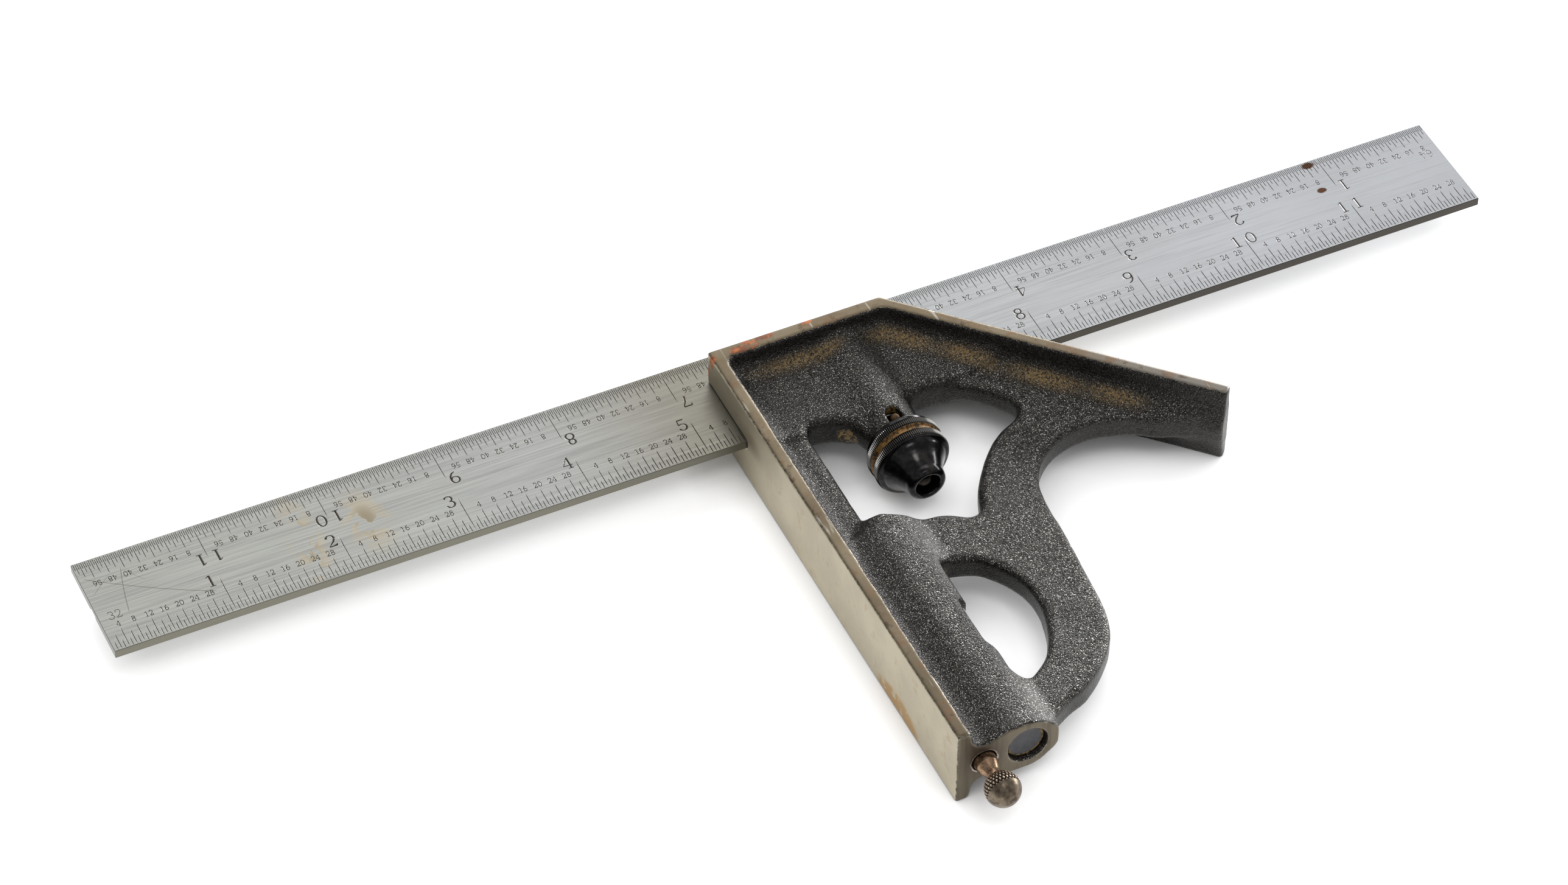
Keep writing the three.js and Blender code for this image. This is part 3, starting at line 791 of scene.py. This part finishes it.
def make_head(material):
    low = np.array([-1.2, BOTTOM - 1.2, -HALF - 1.2])
    high = np.array([TIP_X + 1.2, TOP + 1.2, HALF + 1.2])
    shape = tuple(int(n) for n in np.ceil((high - low) / VOXEL) + 1)
    x, y, z = (
        (low[i] + np.arange(shape[i]) * VOXEL).reshape([-1 if j == i else 1 for j in range(3)])
        for i in range(3)
    )
    field = head_field(x, y, z, shape).astype(np.float32)
    grid = openvdb.FloatGrid(background=4.0)
    grid.copyFromArray(np.ascontiguousarray(field))
    points, _, quads = grid.convertToPolygons(isovalue=0.0, adaptivity=0.0)
    cells = np.asarray(points, float)
    gradient = np.stack(np.gradient(field), -1)
    normals = np.stack([sampled(gradient[..., i], cells) for i in range(3)], -1)
    normals /= np.maximum(np.linalg.norm(normals, axis=1, keepdims=True), 1e-9)
    places = cells * VOXEL + low

    faces = np.asarray(quads)
    corners = places[faces]
    across = np.cross(corners[:, 2] - corners[:, 0], corners[:, 3] - corners[:, 1])
    if (across * normals[faces[:, 0]]).sum() < 0:
        faces = faces[:, ::-1]
    piece = add_mesh(
        "head_casting", places, faces.tolist(), "head", material, ("square_head",)
    )
    piece.data.normals_split_custom_set_from_vertices(normals.tolist())
    gaps = np.min([-p for p in ground_planes(*places.T)], axis=0)
    add_values(piece, "ground_gap", gaps)
    add_values(piece, "from_rim", np.min(rim_walls(*places.T), axis=0))
    under = sampled(field, cells - normals * 1.2 / VOXEL)
    add_values(piece, "flat", np.abs(normals[:, 2]))
    add_values(piece, "edge_wear", np.clip((under + 1.2) / 1.2 * 1.6 - 0.15, 0, 1))


# ---- The rule and its engraving ----
def arc(cx, cy, rx, ry, start, end, thick, thin, n=8):
    """A curved stroke whose width swells where it runs upright."""
    out = []
    for a in np.radians(np.linspace(start, end, n + 1)):
        width = thin + (thick - thin) * abs(math.cos(a)) ** 1.5
        out.append((cx + rx * math.cos(a), cy + ry * math.sin(a), width))
    return out


def digit_strokes(digit, thick, thin):
    """A figure's strokes in a box one high, as lists of (x, y, half width)."""
    k, t = thick, thin

    def around(cx, cy, rx, ry, start, end, n=8):
        return arc(cx, cy, rx, ry, start, end, k, t, n)

    def ring(cx, cy, rx, ry):
        return [around(cx, cy, rx, ry, -99, 99), around(cx, cy, rx, ry, 81, 279)]

    dot, middling = k * 1.25, (k + t) / 2
    return {
        "0": ring(0.31, 0.5, 0.24, 0.45),
        "1": [
            [(0.31, 0.05, k), (0.31, 0.94, k)],
            [(0.14, 0.04, t), (0.48, 0.04, t)],
            [(0.13, 0.8, t), (0.3, 0.94, t)],
        ],
        "2": [
            around(0.31, 0.71, 0.21, 0.25, 175, -20),
            [(0.51, 0.62, k), (0.4, 0.4, k * 0.8), (0.1, 0.08, t)],
            [(0.08, 0.06, middling), (0.54, 0.06, middling), (0.56, 0.2, t)],
            [(0.12, 0.7, dot), (0.14, 0.73, dot)],
        ],
        "3": [
            around(0.29, 0.73, 0.2, 0.23, 165, -75),
            around(0.3, 0.28, 0.23, 0.25, 90, -165),
            [(0.12, 0.78, dot), (0.13, 0.8, dot)],
            [(0.1, 0.2, dot), (0.11, 0.22, dot)],
        ],
        "4": [
            [(0.42, 0.95, t), (0.06, 0.32, t)],
            [(0.05, 0.29, t), (0.58, 0.29, t)],
            [(0.42, 0.95, k), (0.42, 0.05, k)],
            [(0.28, 0.04, t), (0.56, 0.04, t)],
        ],
        "5": [
            [(0.15, 0.94, middling), (0.5, 0.94, middling)],
            [(0.15, 0.93, t), (0.12, 0.52, t)],
            around(0.29, 0.33, 0.23, 0.28, 130, -160),
            [(0.1, 0.2, dot), (0.11, 0.22, dot)],
        ],
        "6": [
            *ring(0.31, 0.3, 0.22, 0.26),
            [(0.09, 0.34, k), (0.12, 0.6, k), (0.25, 0.85, middling), (0.44, 0.95, t)],
            [(0.46, 0.86, dot), (0.47, 0.88, dot)],
        ],
        "7": [
            [(0.08, 0.92, middling), (0.55, 0.92, middling)],
            [(0.55, 0.9, t), (0.36, 0.5, k * 0.7), (0.26, 0.05, k)],
            [(0.08, 0.92, t), (0.07, 0.76, t)],
        ],
        "8": ring(0.31, 0.74, 0.18, 0.21) + ring(0.31, 0.28, 0.22, 0.25),
        "9": [
            *ring(0.31, 0.7, 0.22, 0.26),
            [(0.53, 0.66, k), (0.5, 0.4, k), (0.37, 0.15, middling), (0.18, 0.05, t)],
            [(0.16, 0.14, dot), (0.15, 0.12, dot)],
        ],
    }[digit]


def stroke_net(stroke):
    """A stroke's outline and centre line as points and edges."""
    p = np.array(stroke, float)
    along = np.gradient(p[:, :2], axis=0)
    along /= np.linalg.norm(along, axis=1, keepdims=True)
    side = np.stack([-along[:, 1], along[:, 0]], 1) * p[:, 2:]
    n = len(p)
    points = np.concatenate([p[:, :2] + side, (p[:, :2] - side)[::-1], p[:, :2]])
    points[2 * n] += along[0] * p[0, 2] * 0.5
    points[3 * n - 1] -= along[-1] * p[-1, 2] * 0.5
    ring = [(i, (i + 1) % (2 * n)) for i in range(2 * n)]
    return points, ring + [(2 * n + i, 2 * n + i + 1) for i in range(n - 1)]


def stroke_depth(at, stroke):
    """How deep a point lies in a stroke, from 0 at its edge to 1 on its centre line."""
    best, last = 0.0, len(stroke) - 2
    for i, (a, b) in enumerate(zip(stroke, stroke[1:])):
        a, b = np.array(a), np.array(b)
        e = b[:2] - a[:2]
        length = float(np.linalg.norm(e))
        t = float((at - a[:2]) @ e) / length**2
        if (i == 0 and t < 0) or (i == last and t > 1):
            continue
        ends = [t * length if i == 0 else 1.0, (1 - t) * length if i == last else 1.0]
        t = min(max(t, 0), 1)
        width = a[2] + (b[2] - a[2]) * t
        across = 1 - np.linalg.norm(at - a[:2] - e * t) / width
        best = max(best, min(across, min(ends) / (width * 0.5)))
    return best


def net_of(strokes):
    """Several strokes as one net: (points, depths, edges)."""
    points, edges = [], []
    for stroke in strokes:
        new_points, new_edges = stroke_net(stroke)
        edges += [(a + len(points), b + len(points)) for a, b in new_edges]
        points += [Vector(p) for p in new_points]
    coords, _, faces, _, _, _ = delaunay_2d_cdt(points, edges, [], 0, 1e-5, False)
    depths = [max(stroke_depth(np.array(c), s) for s in strokes) for c in coords]
    depths = [d if d > 0.04 else 0.0 for d in depths]
    kept = set()
    for face in faces:
        middle = np.mean([coords[i] for i in face], axis=0)
        if max(stroke_depth(middle, s) for s in strokes) > 0.02:
            for a, b in zip(face, face[1:] + face[:1]):
                kept.add((min(a, b), max(a, b)))
    used = sorted({i for e in kept for i in e})
    place = {old: new for new, old in enumerate(used)}
    return (
        np.array([coords[i] for i in used]),
        np.array([depths[i] for i in used]),
        [(place[a], place[b]) for a, b in kept],
    )


def tick_lengths(parts, longest):
    """(place in inches, length) of every graduation of a scale that divides each inch in parts."""
    out = []
    for i in range(1, 12 * parts):
        step = parts // math.gcd(i, parts)
        out.append((i / parts, longest[min(step, 64)]))
    return out


LOWER_TICKS = {1: 10.2, 2: 5.6, 4: 5.6, 8: 5.6, 16: 4.3, 32: 2.35}
UPPER_TICKS = {1: 9.6, 2: 5.45, 4: 5.45, 8: 5.45, 16: 4.5, 32: 3.35, 64: 2.05}
BIG, SMALL, END = (3.35, 0.082, 0.03), (1.45, 0.075, 0.06), (2.3, 0.04, 0.036)
DIGIT_PITCH = {BIG: 1.05, SMALL: 0.72, END: 0.72}


def make_rule(material):
    points, depths, edges = [], [], []

    def place(net, deep):
        base = len(points)
        points.extend(net[0])
        depths.extend(net[1] * deep)
        edges.extend((a + base, b + base) for a, b in net[2])

    nets = {
        (style, d): net_of(digit_strokes(d, style[1], style[2]))
        for style in (BIG, SMALL, END)
        for d in "0123456789"
    }

    def write(text, style, x, y, turned=False, deep=0.1, pitch=None):
        """Figures with the middle of the text at x, y."""
        height = style[0]
        pitch = (pitch or DIGIT_PITCH[style] * 0.9) * height
        for i, d in enumerate(text):
            shape, depth, links = nets[style, d]
            local = (shape - (0.31, 0.5)) * (height * (1.12 if style is BIG else 1.0), height)
            local = local + ((i - (len(text) - 1) / 2) * pitch, 0)
            place(((-local if turned else local) + (x, y), depth, links), deep)

    tick = stroke_net([(0, 0, 0.5), (0, 1, 0.5)])
    half_width, depth = 0.095, 0.075
    for u, length in tick_lengths(32, LOWER_TICKS):
        net = tick[0] * (2 * half_width, length - 0.1) + (BLADE_LEFT + u * INCH, 0.1)
        place((net, np.array([0, 0, 0, 0, 1, 1]), tick[1]), depth)
    for u, length in tick_lengths(64, UPPER_TICKS):
        x = BLADE_LEFT + BLADE_LENGTH - u * INCH
        net = tick[0] * (2 * half_width * 0.8, 0.1 - length) + (x, BLADE_WIDTH - 0.1)
        place((net, np.array([0, 0, 0, 0, 1, 1]), tick[1]), depth)

    right = BLADE_LEFT + BLADE_LENGTH
    small_low, small_high, big_low, big_high = 6.7, 18.45, 9.67, 15.53
    beside_line = 1.75
    for inch in range(12):
        for eighth in range(1, 8):
            u = (inch + eighth / 8) * INCH
            write(str(eighth * 4), SMALL, BLADE_LEFT + u, small_low, deep=0.06)
            write(str(eighth * 8), SMALL, right - u, small_high, True, deep=0.06)
        if inch in range(1, 10):
            write(str(inch), BIG, BLADE_LEFT + inch * INCH - beside_line - 0.1, big_low)
            write(str(inch), BIG, right - inch * INCH + beside_line - 0.1, big_high, True)
    for inch in (10, 11):
        write(str(inch), BIG, BLADE_LEFT + inch * INCH - 0.2, big_low, pitch=1.02)
        write(str(inch), BIG, right - inch * INCH + 0.2, big_high, True, pitch=1.02)
    write("32", END, BLADE_LEFT + 3.35, 9.2, deep=0.05)
    write("64", END, right - 3.35, 16.4, True, deep=0.05)

    edge = 0.1
    low_x, high_x, high_y = BLADE_LEFT + edge, right - edge, BLADE_WIDTH - edge
    base = len(points)
    points.extend(np.array(p) for p in [(low_x, edge), (high_x, edge), (high_x, high_y), (low_x, high_y)])
    depths.extend([0.0] * 4)
    edges.extend((base + i, base + (i + 1) % 4) for i in range(4))

    coords, _, faces, sources, _, _ = delaunay_2d_cdt(
        [Vector((p[0] / INCH, p[1] / INCH)) for p in points], edges, [], 0, 1e-6, True
    )
    deep = np.zeros(len(coords))
    for i, source in enumerate(sources):
        if source:
            deep[i] = max(depths[s] for s in source)
    flat = np.array([tuple(c) for c in coords]) * INCH
    top = [(p[0], p[1], BLADE_HALF - d) for p, d in zip(flat, deep)]
    faces = [list(f) for f in faces]

    # The rest of the bar: chamfered edges and the centre groove of its underside.
    groove_low, groove_high, groove_z = 11.1, 14.1, -BLADE_HALF + 0.7
    top_z, low_z = BLADE_HALF, -BLADE_HALF
    section = [
        (edge, top_z), (0, top_z - edge), (0, low_z + edge), (edge, low_z),
        (groove_low - 0.2, low_z), (groove_low, low_z + 0.2), (groove_low + 0.25, groove_z),
        (groove_high - 0.25, groove_z), (groove_high, low_z + 0.2), (groove_high + 0.2, low_z),
        (high_y, low_z), (BLADE_WIDTH, low_z + edge), (BLADE_WIDTH, top_z - edge), (high_y, top_z),
    ]
    n = len(section)
    bar_points = [(x, y, z) for x in (low_x, high_x) for y, z in section]
    bar_faces = [[i, i + 1, n + i + 1, n + i] for i in range(n - 1)]
    middle_y, shrink = BLADE_WIDTH / 2, 1 - 2 * edge / BLADE_WIDTH
    for side, x in ((0, BLADE_LEFT), (1, right)):
        start = len(bar_points)
        bar_points += [
            (x, middle_y + (y - middle_y) * shrink, z * (1 - edge / BLADE_HALF)) for y, z in section
        ]
        ring = range(side * n, side * n + n)
        for i in range(n):
            j = (i + 1) % n
            face = [ring[i], ring[j], start + j, start + i]
            bar_faces.append(face if side else face[::-1])
        cap = list(range(start, start + n))
        bar_faces.append(cap if side else cap[::-1])
    all_points, all_faces = joined((top, faces), (bar_points, bar_faces))
    piece = add_mesh("rule", all_points, all_faces, "rule", material, ("blade",), smooth=False)
    marks = np.zeros(len(all_points))
    marks[: len(top)] = np.clip(deep / 0.06, 0, 1)
    add_values(piece, "engraved", marks)


# ---- Turned pieces ----
def make_nut(material):
    """The lock nut: a cone, two knurled bands with a groove between them, and a collar."""
    end, bore, crest, tooth, teeth = -25.7, 2.6, 8.18, 0.34, 120
    outline = [
        (bore, 0.4, 0), (2.85, 0.05, 0), (3.3, 0, 0), (3.95, 0.4, 0), (4.2, 1.0, 0), (4.3, 2.0, 0),
        (4.72, 3.1, 0), (5.35, 4.3, 0), (6.05, 5.3, 0), (6.65, 6.0, 0), (6.95, 6.55, 0), (7.75, 6.8, 0),
        (crest, 7.25, tooth), (crest, 8.5, tooth), (7.85, 8.85, 0), (7.45, 9.05, 0), (7.4, 10, 0),
        (7.8, 10.2, 0), (crest, 10.5, tooth), (crest, 11.8, tooth), (7.8, 12.1, 0), (7.6, 12.2, 0),
        (7.6, 13.1, 0), (7.1, 13.6, 0), (3.1, 13.6, 0), (bore, 13.2, 0), (bore, 0.4, 0),
    ]
    profile = [(radius, end + y, depth) for radius, y, depth in outline]

    def relief(radius, y, angle, entry):
        return radius - entry[2] * triangle_wave(angle / (2 * math.pi) * teeth)

    turned = lathe(divided(softened(profile, 0.22), 0.5), 4 * teeth, relief)
    piece = add_turned("lock_nut_knurled", "lock_nut", "nut", material, turned, LOCK)
    x, y, z = np.array(turned[0]).T
    r = np.hypot(x, z)
    add_values(piece, "worn", (y > end + 8.8) & (y < end + 10.3) & (r < 7.9) & (r > 5))
    add_values(piece, "crest", np.clip((r - 7.9) / 0.28, 0, 1) * 0.9)


def make_bolt(material):
    pitch, depth = 0.907, 0.22
    profile = [
        (0, -24.6), (1.0, -24.5), (1.7, -24.15), (2.1, -23.6), (2.42, -23.2), (2.45, -12.4),
        (2.45, -2.6), (3.3, -2.6), (3.4, -2.5), (3.4, -1.4), (3.3, -1.3), (0, -1.3),
    ]

    def relief(radius, y, angle, entry):
        if not -23.4 < y < -12.6:
            return radius
        return radius - depth * triangle_wave(y / pitch - angle / (2 * math.pi))

    rod = lathe(divided(profile, 0.22), 48, relief)
    tongue = bevelled_box((-2.6, -1.8, -2.59), (2.6, 13.4, -1.29))
    lug = bevelled_box((-2.6, 11.4, -1.9), (2.6, 13.0, -0.59), 0.12)
    shape = joined(rod, tongue, lug)
    add_turned("lock_bolt_threaded", "lock_bolt", "bolt", material, shape, LOCK, 45)


def make_pin(material):
    r, dome = 0.98, 4.9
    profile = [(0, -0.5), (0.8, -0.5), (r, -0.35), (r, dome)]
    profile += [(r * math.cos(a), dome + r * math.sin(a)) for a in np.linspace(0.2, 1.4, 7)]
    points, faces = lathe(divided(profile + [(0, dome + r)], 0.5), 32)
    points = [(p[0] + LOCK_X, -10.1 + p[2], p[1]) for p in points]
    faces = [f[::-1] for f in faces]
    add_mesh(
        "guide_pin_domed", points, faces, "bolt", material, ("bolt_guide_pin",), sharp=45
    )


def make_spring(material):
    radius, wire, turns, low, high = 3.08, 0.33, 4, -7.5, -3.0
    steps, sides = turns * 40, 14
    points, faces = [], []
    for i in range(steps + 1):
        t = i / steps
        angle = t * turns * 2 * math.pi
        y = low + (high - low) * t
        centre = np.array([radius * math.cos(angle), y, radius * math.sin(angle)])
        out = np.array([math.cos(angle), 0, math.sin(angle)])
        up = np.array([0, 1, 0])
        for k in range(sides):
            a = 2 * math.pi * k / sides
            points.append(tuple(centre + (out * math.cos(a) + up * math.sin(a)) * wire))
        if i:
            base = (i - 1) * sides
            for k in range(sides):
                n = (k + 1) % sides
                faces.append([base + k, base + n, base + sides + n, base + sides + k])
    faces.append(list(range(sides))[::-1])
    faces.append(list(range(steps * sides, (steps + 1) * sides)))
    coil = points, faces
    add_turned("lock_spring_coil", "lock_spring", "head", material, coil, LOCK)


def make_level(glass, spirit, plaster, disc):
    """The spirit level: a glass tube, its liquid and bubble, two plaster seats and an end disc."""
    half, inside, bubble_depth = 18.0, 2.6, 2.3
    tube = [
        (2.9, -half + 0.3), (3.1, -half), (3.45, -half), (3.65, -half + 0.25), (3.65, half - 0.25),
        (3.45, half), (3.1, half), (2.9, half - 0.3), (2.9, -half + 0.3),
    ]
    turned = lathe(divided(softened(tube, 0.2), 2.0), 72)
    add_turned("vial_tube", "vial_glass", "head", glass, turned, LEVEL)

    liquid = [
        (0, -half + 1), (2.4, -half + 1.05), (inside, -half + 1.3),
        (inside, half - 1.3), (2.4, half - 1.05), (0, half - 1),
    ]
    points, faces = lathe(divided(liquid, 0.5), 64)

    def around_bubble(p):
        x, y, z = p
        reach = max(0.0, 1 - (x / 2.3) ** 2 - (y / 4.8) ** 2)
        return (x, y, min(z, inside - bubble_depth * math.sqrt(reach))) if z > 0 and reach > 0 else p

    turned = [around_bubble(p) for p in points], faces
    add_turned("vial_liquid", "vial_spirit", "head", spirit, turned, LEVEL, 60)

    points, faces = lathe([(math.sin(a), -math.cos(a)) for a in np.linspace(0, math.pi, 25)], 40)
    turned = [(x * 1.9, y * 4.4, z * 1.1 + 1.45) for x, y, z in points], faces
    add_turned("vial_air_bubble", "vial_bubble", "bubble", glass, turned, LEVEL, None)

    def lumpy(radius, y, angle, entry):
        return radius * (0.985 + 0.015 * math.sin(5 * angle + 2 * y) * math.cos(3 * angle - y))

    for node, low, high in (
        ("vial_seat_outer", -half - 3.2, -half - 0.3),
        ("vial_seat_inner", half + 0.3, half + 3.2),
    ):
        plug = [(0, low), (3.7, low), (4.03, low + 0.3), (4.03, high - 0.3), (3.7, high), (0, high)]
        turned = lathe(divided(plug, 0.4), 48, lumpy)
        add_turned(f"{node}_fill", node, "head", plaster, turned, LEVEL, 60)

    face_y = BOTTOM + 1.3
    cap = [(0, 0.25), (2.6, 0.22), (3.5, 0.05), (3.8, 0), (4.04, 0.2), (4.04, 2.8), (3.8, 3), (0, 3)]
    cap = [(radius, face_y + y) for radius, y in cap]
    turned = lathe(divided(softened(cap, 0.2), 0.4), 72)
    add_turned("level_end_disc", "vial_end_disc", "head", disc, turned, (LEVEL_X, 0.0), 60)


def make_scriber(finish, needle_look, brass):
    """The scriber's ball and neck, its point, and the split bushing that grips it."""
    ball, ball_y, neck = 3.65, -7.75, 0.42
    profile = []
    for i in range(61):
        angle = math.pi - i / 60 * (math.pi - neck)
        y = ball_y + ball * math.cos(angle)
        knurl = 0.3 if KNURL_LOW < y < KNURL_HIGH else 0.0
        profile.append((ball * math.sin(angle), y, knurl))
    profile[0] = (0.0, profile[0][1], 0.0)
    profile += [
        (1.48, -4.1, 0), (1.55, -3.4, 0), (1.95, -2.35, 0), (2.28, -1.4, 0),
        (2.35, -0.2, 0), (2.35, 0.9, 0), (2.25, 1.0, 0), (0, 1.0, 0),
    ]
    profile = divided(profile, 0.16)

    def relief(radius, y, angle, entry):
        if not entry[2] or radius < 1:
            return radius
        turn, rise = angle / (2 * math.pi) * 30, (y - ball_y) / 0.78
        groove = max(triangle_wave(turn + rise / 2), triangle_wave(turn - rise / 2))
        return radius - entry[2] * max(0.0, groove - 0.45) / 0.55

    turned = lathe(profile, 240, relief)
    knob = add_turned(
        "scriber_ball_knob", "scriber_knob", "scriber", finish, turned, SCRIBER, 55
    )
    place = np.array(turned[0])
    sunk = ball - np.linalg.norm(place - (0, ball_y, 0), axis=1)
    knurled = (place[:, 1] > KNURL_LOW) & (place[:, 1] < KNURL_HIGH)
    add_values(knob, "groove", knurled * np.clip((sunk - 0.06) / 0.16, 0, 1) * 0.85)
    add_values(knob, "crest", knurled * np.clip((0.05 - sunk) / 0.05, 0, 1) * 0.8)

    needle = [(0, -5.6), (0.7, -5.6), (0.75, -5.5), (0.75, 1.1)]
    needle += [(0.95, 1.2), (0.95, 45), (0.5, 49.5), (0, 54)]
    turned = lathe(divided(needle, 1.5), 40)
    add_turned("scriber_point", "scriber_needle", "scriber", needle_look, turned, SCRIBER)

    bore, wall, low, high = 1.15, 2.75, 1.3, 24
    bush = [(bore, low + 0.2), (1.35, low), (2.6, low), (wall, low + 0.2), (wall, high - 0.2)]
    bush += [(2.6, high), (1.35, high), (bore, high - 0.2), (bore, low + 0.2)]
    points, faces = lathe(divided(bush, 1.2), 64)

    def split(p):
        """Draws the wall back from the slit that lets the bushing grip."""
        x, y, z = p
        radius, share = math.hypot(x, z), min(max((y - 8.7) / 0.4, 0), 1)
        reach = 0.32 * share
        if abs(x) >= reach:
            return p
        return math.copysign(reach, x), y, math.copysign(math.sqrt(radius**2 - reach**2), z)

    points = [split(p) for p in points]
    kept = []
    for face in faces:
        xs = [points[i][0] for i in face]
        ys = [points[i][1] for i in face]
        if min(ys) > 9 and max(xs) < 0.33 and min(xs) > -0.33 and max(xs) - min(xs) > 0.3:
            continue
        kept.append(face)
    turned = points, kept
    add_turned("scriber_bushing_split", "scriber_bushing", "head", brass, turned, SCRIBER)


# ---- Build ----
make_head(iron_look())
make_rule(rule_look())
make_nut(nut_look())
tarnished = turned_look("tarnished_steel", rgb(54, 48, 43), rgb(28, 24, 21), 0.26, depth=0.03)
make_bolt(tarnished)
make_pin(turned_look("rusted_pin", rgb(104, 78, 44), rgb(50, 36, 22), 0.55, 0.5))
make_spring(turned_look("bright_spring", rgb(150, 150, 152), rgb(104, 102, 100), 0.3))
make_level(
    plain_look(
        "vial_glass_clear", rgb(236, 244, 240), rgb(228, 240, 236), 0.05, Transmission_Weight=1.0, IOR=1.5
    ),
    plain_look(
        "vial_spirit_green", rgb(206, 220, 96), rgb(190, 210, 80), 0.05, Transmission_Weight=1.0, IOR=1.36
    ),
    plain_look("seat_plaster", rgb(214, 206, 186), rgb(180, 168, 144), 0.9),
    disc_look(),
)
make_scriber(
    knob_look(),
    turned_look("needle_steel", rgb(160, 160, 160), rgb(120, 116, 110), 0.3),
    turned_look("bushing_brass", rgb(178, 140, 78), rgb(120, 90, 50), 0.4),
)

# ---- Stage ----
FLOOR_WHITE, FLOOR_GLOW, SHADOW_REACH, SKY_STRENGTH = 0.92, 0.6, 0.013, 0.42
FOCAL_LENGTH, CAMERA_PLACE = 127.12, (-0.3428, -0.6644, 0.8)

scene = bpy.context.scene
scene.view_settings.view_transform = "Standard"
bpy.ops.mesh.primitive_plane_add(size=6, location=(0, 0, 0))
floor = bpy.context.object
floor.name = "floor"
sheet = Look("floor_white", Roughness=0.9)
sheet.put(sheet.shader.inputs["Base Color"], (FLOOR_WHITE, FLOOR_WHITE, FLOOR_WHITE, 1))
sheet.shader.inputs["Emission Color"].default_value = (1, 1, 1, 1)
# The floor's glow fades near the pieces by ambient occlusion: a painted contact shadow.
shelter = sheet.add("ShaderNodeAmbientOcclusion", samples=8)
shelter.inputs["Distance"].default_value = SHADOW_REACH
glow = sheet.step(shelter.outputs["AO"], 0.15, 0.8)
sheet.put(sheet.shader.inputs["Emission Strength"], sheet.times(glow, FLOOR_GLOW))
floor.data.materials.append(sheet.material)

world = bpy.data.worlds.new("studio")
world.use_nodes = True
sky = world.node_tree.nodes["Background"]
sky.inputs["Color"].default_value = (1, 1, 1, 1)
sky.inputs["Strength"].default_value = SKY_STRENGTH
scene.world = world

CENTRE = (CAD_LOW + CAD_HIGH) / 2


def softbox(name, place, size, power):
    light = bpy.data.lights.new(name, "AREA")
    light.shape = "RECTANGLE"
    light.size, light.size_y = size
    light.energy = power
    lamp = bpy.data.objects.new(name, light)
    lamp.location = CENTRE + Vector(place)
    lamp.rotation_euler = (CENTRE - lamp.location).to_track_quat("-Z", "Y").to_euler()
    scene.collection.objects.link(lamp)


softbox("sky", (0.2, 0.9, 1.08), (1.1, 0.8), 5.0)
softbox("right", (1.05, 0.62, 0.19), (1.7, 0.3), 22)
softbox("overhead", (0.0, -0.45, 1.15), (0.35, 0.35), 1.6)

camera = bpy.data.objects.new("camera", bpy.data.cameras.new("camera"))
camera.data.lens = FOCAL_LENGTH
camera.data.sensor_width = 36
camera.data.clip_start = 0.05
across, up, back = (0.9056, -0.4242, 0.0039), (0.3018, 0.6506, 0.6969), (-0.2981, -0.6299, 0.7172)
turn = Matrix((across, up, back)).transposed()
camera.matrix_world = Matrix.Translation(CENTRE + Vector(CAMERA_PLACE)) @ turn.to_4x4()
scene.collection.objects.link(camera)
scene.camera = camera
